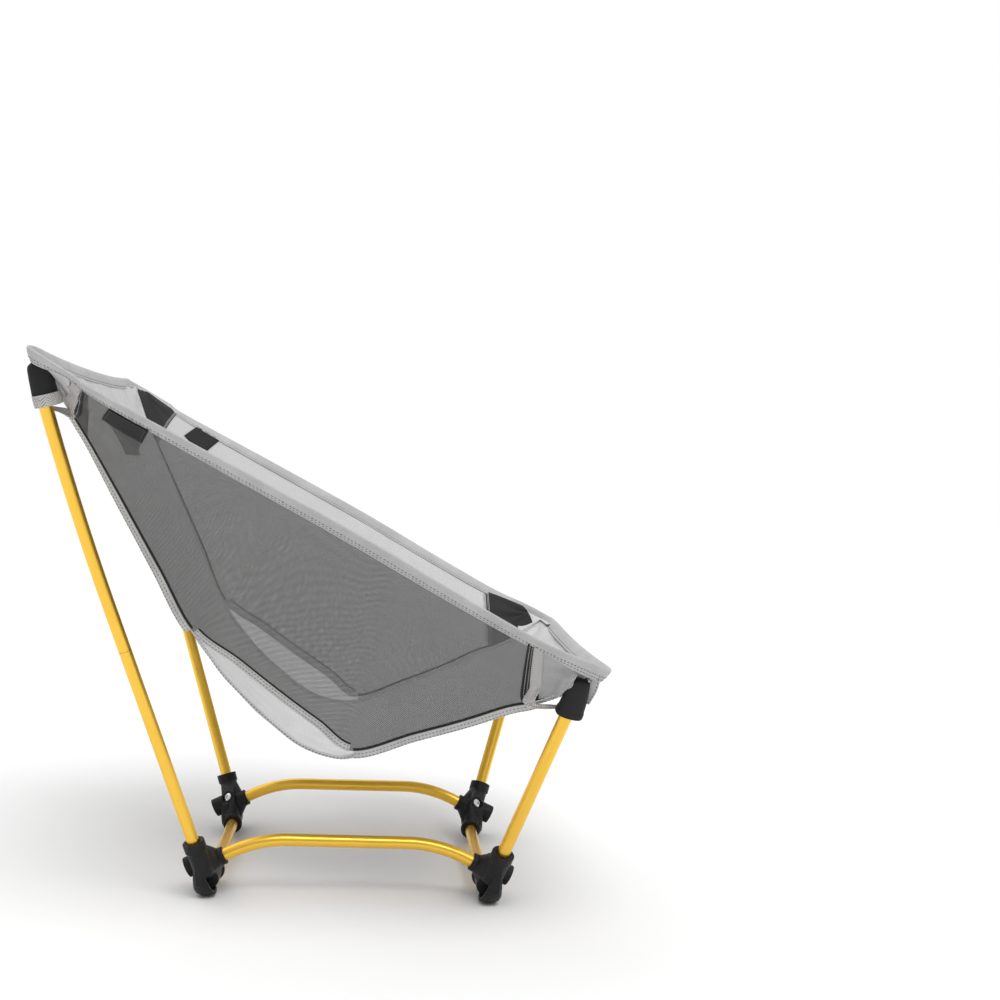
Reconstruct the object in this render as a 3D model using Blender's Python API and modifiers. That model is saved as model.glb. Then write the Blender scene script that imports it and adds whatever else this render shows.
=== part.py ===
"""Ultralight backpacking chair: a shock-corded tube frame in four moulded hubs, with a sling seat.

Metres, +Z up. The chair faces -Y, X is across it, and the origin is on the ground under the
middle of its outer box. Lengths in the frame are given from the middle of the base, which
lies BASE_Y from the origin.
"""
import math

import bpy
import bmesh
from mathutils import Matrix, Vector

# ---------------------------------------------------------------- driving dimensions
BASE_Y = -0.0206

TUBE_RADIUS = 0.0056
TUBE_WALL = 0.0008
TUBE_SIDES_RESOLUTION = 4
GAP = 0.0003

RAIL_X = 0.1130
RAIL_TOP_Z = 0.0500
RAIL_SLOPE = math.radians(26.0)
RAIL_BEND_RADIUS = 0.115
RAIL_MOUTH = (0.1090, 0.0351)
RAIL_SOCKET_DEPTH = 0.0205

CROSSBAR_Y = 0.1212
CROSSBAR_Z = 0.0135
CROSSBAR_MOUTH_X = 0.0820
CROSSBAR_SOCKET_DEPTH = 0.0150

POLE_SOCKET_DEPTH = 0.0270
FRONT_SOCKET_MOUTH = (0.1381, -0.1345, 0.0495)
FRONT_POLE_DIRECTION = (0.4050, -0.2700, 0.8620)
FRONT_POLE_LENGTH = 0.2078
REAR_SOCKET_MOUTH = (0.1391, 0.1338, 0.0532)
REAR_POLE_DIRECTION = (0.2090, 0.2890, 0.9340)
REAR_LOWER_LENGTH = 0.2095
REAR_UPPER_LENGTH = 0.2370
REAR_UPPER_BEND = math.radians(4.6)
FERRULE_LENGTH = 0.0560

FOOT_X = 0.1170
FOOT_RADIUS = 0.0215
FOOT_FLAT = 0.0006
FOOT_WEB = (0.1252, 0.1284)
# Outline of the crowned foot: distance from the base's middle, and how far it is under full radius.
FOOT_CROWN = [(0.1120, 0.0038), (0.1165, 0.0018), (0.1210, 0.0004), (0.1250, 0.0), (0.1285, 0.0005),
              (0.1325, 0.0020), (0.1348, 0.0050)]
FOOT_EDGE_SLOPE = 0.45
FOOT_EDGE = 0.1145
KNOB_FACE = (0.1427, 0.0223)
KNOB_RADIUS = 0.0093
SCREW_HEAD = (0.1065, 0.1293, 0.0360)
SCREW_NORMAL = (-0.64, 0.56, 0.53)
SCREW_SINK = 0.0022
SCREW_SHANK = 0.0068
SCREW_RADIUS = 0.0015

CORD_RADIUS = 0.00125
SHEET = 0.0009
RIM_RADIUS = 0.0042
LAYER = 0.0018
LAYER_SHEET = 0.0008

# Colours, roughness and metallic value of each material.
FINISHES = {
    "gold_tube": ((0.90, 0.55, 0.06), 0.32, 0.9),
    "black_plastic": ((0.025, 0.025, 0.028), 0.55, 0.0),
    "bright_screw": ((0.80, 0.80, 0.82), 0.25, 1.0),
    "raw_ferrule": ((0.72, 0.73, 0.75), 0.35, 1.0),
    "elastic_cord": ((0.05, 0.05, 0.05), 0.85, 0.0),
    "grey_ripstop": ((0.47, 0.47, 0.47), 0.80, 0.0),
    "dark_mesh": ((0.13, 0.13, 0.13), 0.85, 0.0),
    "grey_hem": ((0.40, 0.40, 0.40), 0.80, 0.0),
    "black_fabric": ((0.025, 0.025, 0.025), 0.75, 0.0),
    "grey_tape": ((0.50, 0.49, 0.49), 0.85, 0.0),
}


# ---------------------------------------------------------------- scene and helpers
def clear_scene():
    for thing in list(bpy.data.objects):
        bpy.data.objects.remove(thing)


def new_collection(name):
    group = bpy.data.collections.new(name)
    bpy.context.scene.collection.children.link(group)
    return group


clear_scene()
CHAIR = new_collection("backpacking_chair")
CUTTERS = new_collection("cutters")


def base(x, y, z):
    """World place of a point given from the middle of the base."""
    return Vector((x, y + BASE_Y, z))


def finish(name):
    """The named material, made once."""
    material = bpy.data.materials.get(name)
    if material:
        return material
    colour, roughness, metallic = FINISHES[name]
    material = bpy.data.materials.new(name)
    material.use_nodes = True
    shader = material.node_tree.nodes["Principled BSDF"]
    shader.inputs["Base Color"].default_value = (*colour, 1.0)
    shader.inputs["Roughness"].default_value = roughness
    shader.inputs["Metallic"].default_value = metallic
    return material


def add_object(name, mesh, finish_name=None, group=None):
    thing = bpy.data.objects.new(name, mesh)
    (group or CHAIR).objects.link(thing)
    if finish_name:
        mesh.materials.append(finish(finish_name))
        mesh.shade_smooth()
        mesh.set_sharp_from_angle(angle=math.radians(40.0))
    else:
        thing.hide_render = True
        thing.display_type = "WIRE"
    return thing


def mesh_from(name, work):
    mesh = bpy.data.meshes.new(name)
    bmesh.ops.recalc_face_normals(work, faces=work.faces)
    work.to_mesh(mesh)
    work.free()
    return mesh


def frame_along(start, direction):
    """Matrix whose Z axis runs along direction from start."""
    turn = Vector(direction).normalized().to_track_quat("Z", "Y").to_matrix().to_4x4()
    return Matrix.Translation(start) @ turn


def add_cylinder(work, start, end, radius, segments=20):
    """Closed round bar between two points, added to a bmesh."""
    run = Vector(end) - Vector(start)
    place = frame_along((Vector(start) + Vector(end)) / 2.0, run)
    bmesh.ops.create_cone(work, cap_ends=True, segments=segments, radius1=radius,
                          radius2=radius, depth=run.length, matrix=place)


def cylinder_object(name, start, end, radius, group, segments=16):
    work = bmesh.new()
    add_cylinder(work, start, end, radius, segments)
    return add_object(name, mesh_from(name, work), None, group)


def circle_points(centre, normal, radius, count=10):
    place = frame_along(Vector(centre), normal)
    angles = [2.0 * math.pi * step / count for step in range(count)]
    return [place @ Vector((radius * math.cos(a), radius * math.sin(a), 0.0)) for a in angles]


def hull_object(name, circles, group):
    """Closed convex web stretched over several circles."""
    work = bmesh.new()
    for centre, normal, radius in circles:
        for point in circle_points(centre, normal, radius):
            work.verts.new(point)
    result = bmesh.ops.convex_hull(work, input=work.verts)
    loose = [v for v in result["geom_interior"] if isinstance(v, bmesh.types.BMVert)]
    bmesh.ops.delete(work, geom=loose, context="VERTS")
    return add_object(name, mesh_from(name, work), None, group)


def add_boolean(thing, operation, group):
    cut = thing.modifiers.new(operation.lower(), "BOOLEAN")
    cut.operation = operation
    cut.operand_type = "COLLECTION"
    cut.collection = group


def child_collection(name):
    group = bpy.data.collections.new(name)
    CUTTERS.children.link(group)
    return group


def tube_object(name, points, radius, finish_name, wall=None, resolution=TUBE_SIDES_RESOLUTION):
    """Round tube or rod along points: open-ended with a wall, or solid with filled caps."""
    curve = bpy.data.curves.new(name, "CURVE")
    curve.dimensions = "3D"
    curve.bevel_depth = radius
    curve.bevel_resolution = resolution
    curve.use_fill_caps = wall is None
    line = curve.splines.new("POLY")
    line.points.add(len(points) - 1)
    for spot, point in zip(line.points, points):
        spot.co = (*point, 1.0)
    guide = bpy.data.objects.new(name + "_guide", curve)
    CHAIR.objects.link(guide)
    bpy.context.view_layer.update()
    evaluated = guide.evaluated_get(bpy.context.evaluated_depsgraph_get())
    mesh = bpy.data.meshes.new_from_object(evaluated)
    bpy.data.objects.remove(guide)
    work = bmesh.new()
    work.from_mesh(mesh)
    bmesh.ops.remove_doubles(work, verts=work.verts, dist=0.00001)
    bmesh.ops.recalc_face_normals(work, faces=work.faces)
    work.to_mesh(mesh)
    work.free()
    mesh.materials.clear()
    thing = add_object(name, mesh, finish_name)
    if wall:
        if thing_points_in(mesh):
            mesh.flip_normals()
        skin = thing.modifiers.new("wall", "SOLIDIFY")
        skin.thickness = wall
        skin.offset = -1.0
    return thing


def thing_points_in(mesh):
    """True if an open tube's faces point at its own middle line."""
    middle = sum((v.co for v in mesh.vertices), Vector()) / len(mesh.vertices)
    first = mesh.polygons[0]
    ring = [v.co for v in mesh.vertices if (v.co - first.center).length < 4.0 * TUBE_RADIUS]
    axis_point = sum(ring, Vector()) / len(ring) if ring else middle
    return first.normal.dot(first.center - axis_point) < 0.0


def turned_object(name, profile, place, finish_name, steps=20):
    """Solid of revolution: a profile of (radius, height) pairs, listed from top to bottom."""
    mesh = bpy.data.meshes.new(name)
    points = [(radius, 0.0, height) for radius, height in profile]
    edges = [(i, i + 1) for i in range(len(points) - 1)]
    mesh.from_pydata(points, edges, [])
    thing = add_object(name, mesh, finish_name)
    thing.matrix_world = place
    screw = thing.modifiers.new("turn", "SCREW")
    screw.steps = steps
    screw.render_steps = steps
    screw.use_merge_vertices = True
    screw.merge_threshold = 0.00001
    return thing


def smooth_path(points, count):
    """Evenly spaced points on a Catmull-Rom curve through the given points."""
    spots = [Vector(p) for p in points]
    spots = [spots[0] * 2 - spots[1]] + spots + [spots[-1] * 2 - spots[-2]]
    fine = []
    for i in range(1, len(spots) - 2):
        a, b, c, d = spots[i - 1:i + 3]
        for step in range(16):
            t = step / 16.0
            fine.append(0.5 * (2 * b + (c - a) * t + (2 * a - 5 * b + 4 * c - d) * t * t
                               + (3 * b - a - 3 * c + d) * t * t * t))
    fine.append(spots[-2])
    lengths = [0.0]
    for a, b in zip(fine, fine[1:]):
        lengths.append(lengths[-1] + (b - a).length)
    path = []
    place = 0
    for step in range(count):
        wanted = lengths[-1] * step / (count - 1)
        while place < len(fine) - 2 and lengths[place + 1] < wanted:
            place += 1
        run = lengths[place + 1] - lengths[place]
        path.append(fine[place].lerp(fine[place + 1], (wanted - lengths[place]) / run))
    return path


# ---------------------------------------------------------------- hubs and their screws
def corner(side, end, o, e, z):
    """World place near one hub: o outward from the middle, e towards the base's own end."""
    return base(side * o, end * e, z)


def corner_direction(side, end, o, e, z):
    return Vector((side * o, end * e, z)).normalized()


def pole_socket(side, end):
    """Mouth of a hub's upright socket and the direction of the pole in it."""
    mouth = FRONT_SOCKET_MOUTH if end < 0 else REAR_SOCKET_MOUTH
    lean = FRONT_POLE_DIRECTION if end < 0 else REAR_POLE_DIRECTION
    return base(side * mouth[0], mouth[1], mouth[2]), Vector((side * lean[0], lean[1], lean[2])).normalized()


def foot_object(name, side, end):
    """Hollow crowned foot: a hoop with a web across it, cut slantwise on the rail's side."""
    centre_z = FOOT_RADIUS - FOOT_FLAT
    work = bmesh.new()
    outline = [corner(side, end, FOOT_X, FOOT_CROWN[0][0], centre_z)]
    for reach, drop in FOOT_CROWN:
        outline.append(corner(side, end, FOOT_X, reach, centre_z - FOOT_RADIUS + drop))
    outline.append(corner(side, end, FOOT_X, FOOT_CROWN[-1][0], centre_z))
    verts = [work.verts.new(point) for point in outline]
    edges = [work.edges.new(pair) for pair in zip(verts, verts[1:])]
    bmesh.ops.spin(work, geom=verts + edges, cent=outline[0], axis=(0.0, 1.0, 0.0),
                   angle=2.0 * math.pi, steps=28, use_merge=True)
    bmesh.ops.remove_doubles(work, verts=work.verts, dist=0.00001)
    planes = [(corner(side, end, FOOT_X, FOOT_EDGE, 0.0),
               corner_direction(side, end, 0.0, -1.0, FOOT_EDGE_SLOPE)),
              (base(0.0, 0.0, 0.0), Vector((0.0, 0.0, -1.0))),
              (base(0.0, 0.0, 0.0300), Vector((0.0, 0.0, 1.0)))]
    for point, outward in planes:
        cut = bmesh.ops.bisect_plane(work, geom=work.verts[:] + work.edges[:] + work.faces[:],
                                     plane_co=point, plane_no=outward, clear_outer=True)
        rim = [e for e in cut["geom_cut"] if isinstance(e, bmesh.types.BMEdge)]
        bmesh.ops.contextual_create(work, geom=rim)
    foot = add_object(name, mesh_from(name, work), None, CUTTERS)
    hollows = child_collection(name + "_hollows")
    cylinder_object(name + "_end_hollow", corner(side, end, FOOT_X, FOOT_WEB[1], centre_z),
                    corner(side, end, FOOT_X, FOOT_WEB[1] + 0.0100, centre_z), FOOT_RADIUS - 0.0064,
                    hollows, 24)
    cylinder_object(name + "_rail_hollow", corner(side, end, FOOT_X, FOOT_WEB[0], centre_z),
                    corner(side, end, FOOT_X, FOOT_WEB[0] - 0.0300, centre_z), FOOT_RADIUS - 0.0048,
                    hollows, 24)
    add_boolean(foot, "DIFFERENCE", hollows)
    return foot


def rail_axis(side, end, along):
    """Point on the rail's sloping end, measured inwards from the socket's mouth."""
    return corner(side, end, RAIL_X, RAIL_MOUTH[0] + along * math.cos(RAIL_SLOPE),
                  RAIL_MOUTH[1] - along * math.sin(RAIL_SLOPE))


def make_hub(name, side, end):
    """One moulded hub: three sockets, webs between them, a knob and a hollow foot."""
    mouth, lean = pole_socket(side, end)
    rail_direction = rail_axis(side, end, 0.01) - rail_axis(side, end, 0.0)
    across = Vector((side, 0.0, 0.0))
    screw_at = corner(side, end, *SCREW_HEAD)
    screw_normal = corner_direction(side, end, *SCREW_NORMAL)
    neck = corner(side, end, CROSSBAR_MOUTH_X + 0.0075, CROSSBAR_Y, CROSSBAR_Z)
    knob_face = corner(side, end, RAIL_X - 0.0010, *KNOB_FACE)
    axis_at_rib = mouth + lean * ((0.0370 - mouth.z) / lean.z)
    rib_top = axis_at_rib + Vector((side * 0.0078, end * 0.0036, 0.0))
    rib_low = corner(side, end, FOOT_X + 0.0186, 0.0, 0.0130)
    ends = Vector((0.0, end, 0.0))

    solids = child_collection(name + "_solids")
    cylinder_object(name + "_pole_collar", mouth, mouth - lean * 0.0090, 0.0100, solids, 24)
    cylinder_object(name + "_rail_socket", rail_axis(side, end, 0.0), rail_axis(side, end, 0.0250),
                    0.0082, solids)
    cylinder_object(name + "_bar_collar", corner(side, end, CROSSBAR_MOUTH_X, CROSSBAR_Y, CROSSBAR_Z),
                    corner(side, end, CROSSBAR_MOUTH_X + 0.0058, CROSSBAR_Y, CROSSBAR_Z), 0.0096, solids, 24)
    cylinder_object(name + "_bar_neck", corner(side, end, CROSSBAR_MOUTH_X + 0.0030, CROSSBAR_Y, CROSSBAR_Z),
                    corner(side, end, FOOT_X, CROSSBAR_Y, CROSSBAR_Z), 0.0077, solids)
    cylinder_object(name + "_knob", knob_face - rail_direction.normalized() * 0.0200, knob_face,
                    KNOB_RADIUS, solids, 24)
    cylinder_object(name + "_screw_boss", screw_at - screw_normal * 0.0120, screw_at, 0.0072, solids)
    hull_object(name + "_spine", [(mouth - lean * 0.0080, lean, 0.0084),
                                  (screw_at - screw_normal * 0.0012, screw_normal, 0.0078),
                                  (neck, across, 0.0074),
                                  (mouth - lean * 0.0300, lean, 0.0070)], solids)
    hull_object(name + "_web", [(mouth - lean * 0.0055, lean, 0.0074),
                                (rail_axis(side, end, 0.0035), rail_direction, 0.0074),
                                (mouth - lean * 0.0330, lean, 0.0060),
                                (neck + across * 0.0090, across, 0.0060),
                                (rail_axis(side, end, 0.0240), rail_direction, 0.0066)], solids)
    hull_object(name + "_rib", [(rib_top, ends, 0.0010),
                                (rib_top - ends * 0.0040, ends, 0.0010),
                                (rib_low + ends * 0.1216, ends, 0.0010),
                                (rib_low + ends * 0.1318, ends, 0.0010),
                                (axis_at_rib, ends, 0.0030),
                                (rib_low + ends * 0.1260 - across * 0.0060, ends, 0.0020)], solids)
    foot = foot_object(name + "_foot", side, end)
    CUTTERS.objects.unlink(foot)
    solids.objects.link(foot)

    bores = child_collection(name + "_bores")
    fit = TUBE_RADIUS + GAP
    cylinder_object(name + "_pole_bore", mouth - lean * POLE_SOCKET_DEPTH, mouth + lean * 0.0200,
                    fit, bores, 16)
    cylinder_object(name + "_rail_bore", rail_axis(side, end, RAIL_SOCKET_DEPTH),
                    rail_axis(side, end, -0.0200), fit, bores, 16)
    bar_end = CROSSBAR_MOUTH_X + CROSSBAR_SOCKET_DEPTH
    cylinder_object(name + "_bar_bore", corner(side, end, bar_end, CROSSBAR_Y, CROSSBAR_Z),
                    corner(side, end, CROSSBAR_MOUTH_X - 0.0200, CROSSBAR_Y, CROSSBAR_Z), fit, bores, 16)
    cylinder_object(name + "_screw_seat", screw_at - screw_normal * SCREW_SINK,
                    screw_at + screw_normal * 0.0200, 0.0057, bores)
    cylinder_object(name + "_screw_hole", screw_at - screw_normal * 0.0100,
                    screw_at, SCREW_RADIUS + GAP, bores, 12)

    work = bmesh.new()
    add_cylinder(work, mouth - lean * 0.0010, mouth - lean * 0.0320, 0.0088, 20)
    hub = add_object(name, mesh_from(name, work), "black_plastic")
    add_boolean(hub, "UNION", solids)
    add_boolean(hub, "DIFFERENCE", bores)
    return hub


def make_screw(name, side, end):
    """Button-head screw with a hexagon socket, holding the rail in the hub."""
    head_at = corner(side, end, *SCREW_HEAD)
    normal = corner_direction(side, end, *SCREW_NORMAL)
    profile = [(0.0, 0.0026), (0.0026, 0.0024), (0.0043, 0.0015), (0.0050, 0.0), (SCREW_RADIUS, 0.0),
               (SCREW_RADIUS, -SCREW_SHANK), (0.0, -SCREW_SHANK)]
    place = frame_along(head_at - normal * (SCREW_SINK - GAP), normal)
    screw = turned_object(name, profile, place, "bright_screw", 12)
    sockets = child_collection(name + "_socket")
    cylinder_object(name + "_hexagon", place @ Vector((0.0, 0.0, 0.0009)),
                    place @ Vector((0.0, 0.0, 0.0100)), 0.0019, sockets, 6)
    add_boolean(screw, "DIFFERENCE", sockets)
    return screw


# ---------------------------------------------------------------- tubes of the base
def make_rail(name, side):
    """Side rail: level in the middle, bent down at both ends into the hubs."""
    reach = RAIL_SOCKET_DEPTH - GAP
    turn_length = RAIL_BEND_RADIUS * math.tan(RAIL_SLOPE / 2.0)
    knee = RAIL_MOUTH[0] - (RAIL_TOP_Z - RAIL_MOUTH[1]) / math.tan(RAIL_SLOPE)
    arc_start = knee - turn_length
    half = []
    for step in range(7):
        angle = RAIL_SLOPE * step / 6.0
        half.append((arc_start + RAIL_BEND_RADIUS * math.sin(angle),
                     RAIL_TOP_Z - RAIL_BEND_RADIUS * (1.0 - math.cos(angle))))
    half.append((RAIL_MOUTH[0] + reach * math.cos(RAIL_SLOPE), RAIL_MOUTH[1] - reach * math.sin(RAIL_SLOPE)))
    rear = [base(side * RAIL_X, y, z) for y, z in half]
    front = [base(side * RAIL_X, -y, z) for y, z in reversed(half)]
    rail = tube_object(name, front + rear, TUBE_RADIUS, "gold_tube", TUBE_WALL)
    holes = child_collection(name + "_holes")
    for end in (-1, 1):
        head_at = corner(side, end, *SCREW_HEAD)
        normal = corner_direction(side, end, *SCREW_NORMAL)
        cylinder_object(f"{name}_hole_{end + 1}", head_at - normal * 0.0020, head_at - normal * 0.0104,
                        SCREW_RADIUS + GAP, holes, 12)
    add_boolean(rail, "DIFFERENCE", holes)
    return rail


def make_crossbar(name, end):
    reach = CROSSBAR_MOUTH_X + CROSSBAR_SOCKET_DEPTH - GAP
    ends = [base(x, end * CROSSBAR_Y, CROSSBAR_Z) for x in (-reach, reach)]
    return tube_object(name, ends, TUBE_RADIUS, "gold_tube", TUBE_WALL)


def make_crossbar_cord(name, end):
    reach = CROSSBAR_MOUTH_X + 0.0100
    ends = [base(x, end * CROSSBAR_Y, CROSSBAR_Z) for x in (-reach, reach)]
    return tube_object(name, ends, CORD_RADIUS, "elastic_cord", None, 2)


# ---------------------------------------------------------------- uprights
def front_pole_line(side):
    """Both ends of a front upright."""
    mouth, lean = pole_socket(side, -1)
    foot = mouth - lean * (POLE_SOCKET_DEPTH - GAP)
    return [foot, foot + lean * FRONT_POLE_LENGTH]


def rear_lower_line(side):
    """Both ends of the straight lower section of a rear upright."""
    mouth, lean = pole_socket(side, 1)
    foot = mouth - lean * (POLE_SOCKET_DEPTH - GAP)
    return [foot, foot + lean * REAR_LOWER_LENGTH]


def rear_upper_line(side):
    """Middle line of the upper section, which the seat's pull bows forward a little."""
    lower = rear_lower_line(side)
    lean = (lower[1] - lower[0]).normalized()
    start = lower[1] + lean * GAP
    straight = FERRULE_LENGTH / 2.0 + 0.0100
    bend_axis = lean.cross(Vector((0.0, -1.0, 0.0))).normalized()
    points = [start, start + lean * straight]
    steps = 6
    piece = (REAR_UPPER_LENGTH - straight) / steps
    for step in range(steps):
        turn = Matrix.Rotation(REAR_UPPER_BEND * (step + 0.5) / steps, 3, bend_axis)
        points.append(points[-1] + turn @ lean * piece)
    return points


def make_tip(name, line):
    """Plastic end plug: a spigot in the tube and a domed head outside it."""
    direction = (line[-1] - line[-2]).normalized()
    bore = TUBE_RADIUS - TUBE_WALL - 0.0002
    head = TUBE_RADIUS
    profile = [(0.0, 0.0070)]
    for step in range(1, 6):
        angle = math.radians(90.0 - 18.0 * step)
        profile.append((head * math.cos(angle), 0.0020 + 0.0050 * math.sin(angle)))
    profile += [(head, GAP), (bore, GAP), (bore, -0.0110), (0.0, -0.0110)]
    return turned_object(name, profile, frame_along(line[-1], direction), "black_plastic", 16)


def make_pole_cord(name, line):
    """Elastic cord that lies inside an upright, from its foot to the plug at its tip."""
    start_run = (line[1] - line[0]).normalized()
    end_run = (line[-1] - line[-2]).normalized()
    points = [line[0] + start_run * 0.0010] + list(line[1:-1]) + [line[-1] - end_run * 0.0120]
    return tube_object(name, points, CORD_RADIUS, "elastic_cord", None, 2)


def make_ferrule(name, side):
    """Insert tube fixed in the lower section, on which the upper section slides."""
    lower = rear_lower_line(side)
    lean = (lower[1] - lower[0]).normalized()
    joint = lower[1] + lean * (GAP / 2.0)
    ends = [joint - lean * FERRULE_LENGTH / 2.0, joint + lean * FERRULE_LENGTH / 2.0]
    return tube_object(name, ends, TUBE_RADIUS - TUBE_WALL - 0.0002, "raw_ferrule", TUBE_WALL)


# ---------------------------------------------------------------- seat surfaces (right half, from the base's middle)
# Edge of the main panel, from the back corner down and forward to the front corner.
PANEL_EDGE = [(0.2170, 0.2405, 0.4580), (0.1970, 0.2260, 0.4180), (0.1825, 0.2090, 0.3850),
              (0.1530, 0.1640, 0.2930),
              (0.1330, 0.1370, 0.2370), (0.1260, 0.1100, 0.2000), (0.1275, 0.0800, 0.1700),
              (0.1350, 0.0450, 0.1430), (0.1425, 0.0150, 0.1330), (0.1445, -0.0050, 0.1350),
              (0.1540, -0.0540, 0.1530), (0.1670, -0.0960, 0.1680), (0.1810, -0.1300, 0.1810),
              (0.1880, -0.1510, 0.1875), (0.1940, -0.1740, 0.1980), (0.1980, -0.1920, 0.2120)]
# Middle line of the main panel, from the back hem to the front hem.
PANEL_MIDDLE = [(0.0, 0.2440, 0.4535), (0.0, 0.2000, 0.3620), (0.0, 0.1500, 0.2500),
                (0.0, 0.1180, 0.1950), (0.0, 0.0780, 0.1510), (0.0, 0.0350, 0.1240),
                (0.0, -0.0100, 0.1200), (0.0, -0.0600, 0.1360), (0.0, -0.1100, 0.1570),
                (0.0, -0.1600, 0.1810), (0.0, -0.2025, 0.2070)]
# Lower edge of the side mesh: back seam, free edge over the vent, front seam.
MESH_EDGE = [(0.2260, 0.2370, 0.4545), (0.2020, 0.2230, 0.4180), (0.1865, 0.2070, 0.3850),
             (0.1565, 0.1625, 0.2940),
             (0.1370, 0.1350, 0.2380), (0.1385, 0.0960, 0.2080), (0.1430, 0.0630, 0.1830),
             (0.1475, 0.0300, 0.1600), (0.1490, 0.0010, 0.1410), (0.1570, -0.0540, 0.1590),
             (0.1700, -0.0950, 0.1730), (0.1840, -0.1280, 0.1870), (0.1910, -0.1490, 0.1940),
             (0.1970, -0.1700, 0.2050)]
# Middle line of the rim hem, from the middle of the back round to the middle of the front.
RIM_BACK = [(0.0, 0.2465, 0.4600), (0.1000, 0.2472, 0.4615), (0.2040, 0.2482, 0.4655)]
RIM_SIDE = [(0.2046, 0.2482, 0.4655), (0.2240, 0.2478, 0.4655), (0.2395, 0.2430, 0.4625),
            (0.2480, 0.2320, 0.4550), (0.2530, 0.2130, 0.4430), (0.2540, 0.1950, 0.4305),
            (0.2536, 0.0985, 0.3795), (0.2510, -0.0020, 0.3260), (0.2488, -0.0810, 0.2810),
            (0.2450, -0.1340, 0.2515), (0.2390, -0.1570, 0.2405), (0.2250, -0.1850, 0.2290),
            (0.2040, -0.2040, 0.2195), (0.1806, -0.2090, 0.2165)]
RIM_FRONT = [(0.1790, -0.2090, 0.2165), (0.0900, -0.2095, 0.2140), (0.0, -0.2095, 0.2130)]
# The same hem line along the mesh's upper edge only.
MESH_TOP = [(0.2400, 0.2330, 0.4540), (0.2470, 0.2120, 0.4410), (0.2480, 0.1930, 0.4280),
            (0.2476, 0.0985, 0.3765), (0.2450, -0.0020, 0.3230), (0.2430, -0.0810, 0.2780),
            (0.2390, -0.1330, 0.2490), (0.2310, -0.1560, 0.2400), (0.2180, -0.1790, 0.2300)]
PANEL_ROWS = 19
PANEL_ACROSS = (0.0, 0.28, 0.50, 0.68, 0.81, 0.91, 1.0)
PANEL_CROWN = 4.0
MESH_ROWS = 19
MESH_UP = (0.0, 0.12, 0.30, 0.50, 0.70, 0.88, 1.0)
MESH_BULGE = 0.0090


def spread(low, high, count):
    return [low + (high - low) * step / (count - 1) for step in range(count)]


def panel_surface():
    """Main panel as rows of points: from the back to the front, and across from left to right."""
    edges = smooth_path(PANEL_EDGE, PANEL_ROWS)
    middles = smooth_path(PANEL_MIDDLE, PANEL_ROWS)
    acrosses = [-v for v in reversed(PANEL_ACROSS[1:])] + list(PANEL_ACROSS)
    rows = []
    for edge, middle in zip(edges, middles):
        row = []
        for across in acrosses:
            height = middle.lerp(edge, abs(across) ** PANEL_CROWN)
            row.append(Vector((edge.x * across, height.y, height.z)))
        rows.append(row)
    return spread(0.0, 1.0, PANEL_ROWS), acrosses, rows


def mesh_surface():
    """Right side mesh as rows of points: from the back to the front, and up from seam to rim."""
    feet = smooth_path(MESH_EDGE, MESH_ROWS)
    tops = smooth_path(MESH_TOP, MESH_ROWS)
    alongs = spread(0.0, 1.0, MESH_ROWS)
    rows = []
    for along, foot, top in zip(alongs, feet, tops):
        chord = top - foot
        inward = Vector((-chord.z, 0.0, chord.x)).normalized()
        bulge = MESH_BULGE * math.sin(math.pi * along)
        rows.append([foot + chord * up + inward * (bulge * math.sin(math.pi * up)) for up in MESH_UP])
    return alongs, list(MESH_UP), rows


def surface_normals(rows):
    """Unit normal at each point of a surface."""
    normals = []
    for i in range(len(rows)):
        before, after = rows[max(i - 1, 0)], rows[min(i + 1, len(rows) - 1)]
        line = []
        for j in range(len(rows[0])):
            across = rows[i][min(j + 1, len(rows[0]) - 1)] - rows[i][max(j - 1, 0)]
            line.append((after[j] - before[j]).cross(across).normalized())
        normals.append(line)
    return normals


def between(values, wanted):
    """Index of the interval that holds a value, and the share of it."""
    index = 0
    while index < len(values) - 2 and values[index + 1] <= wanted:
        index += 1
    return index, (wanted - values[index]) / (values[index + 1] - values[index])


def blend(grid, along, across):
    """Value of a grid between its rows and columns."""
    i, s = along
    j, t = across
    first = grid[i][j].lerp(grid[i][j + 1], t)
    second = grid[i + 1][j].lerp(grid[i + 1][j + 1], t)
    return first.lerp(second, s)


def sheet_object(name, surface, along_range, across_range, side, offset, finish_name, thickness=SHEET):
    """Thin closed sheet over a patch of a seat surface, set off from it along its normal."""
    alongs, acrosses, rows = surface
    normals = surface_normals(rows)
    lines = [along_range[0]] + [a for a in alongs if along_range[0] < a < along_range[1]] + [along_range[1]]
    columns = [across_range[0]] + [v for v in acrosses if across_range[0] < v < across_range[1]]
    columns.append(across_range[1])
    work = bmesh.new()
    grid = []
    for along in lines:
        row = []
        for across in columns:
            cell = between(alongs, along), between(acrosses, across)
            spot = blend(rows, *cell) + blend(normals, *cell).normalized() * offset
            row.append(work.verts.new(base(side * spot.x, spot.y, spot.z)))
        grid.append(row)
    for i in range(len(grid) - 1):
        for j in range(len(grid[0]) - 1):
            work.faces.new((grid[i][j], grid[i + 1][j], grid[i + 1][j + 1], grid[i][j + 1]))
    thing = add_object(name, mesh_from(name, work), finish_name)
    skin = thing.modifiers.new("cloth", "SOLIDIFY")
    skin.thickness = thickness
    skin.offset = 0.0
    return thing


def make_rim_side(name, side):
    points = [base(side * p.x, p.y, p.z) for p in smooth_path(RIM_SIDE, 30)]
    return tube_object(name, points, RIM_RADIUS, "grey_hem", None, 2)


def make_rim_across(name, line):
    half = smooth_path(line, 6)
    ordered = half if half[0].x < half[-1].x else half[::-1]
    mirrored = [Vector((-p.x, p.y, p.z)) for p in reversed(ordered[1:])]
    points = [base(p.x, p.y, p.z) for p in mirrored + ordered]
    return tube_object(name, points, RIM_RADIUS, "grey_hem", None, 2)


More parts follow.
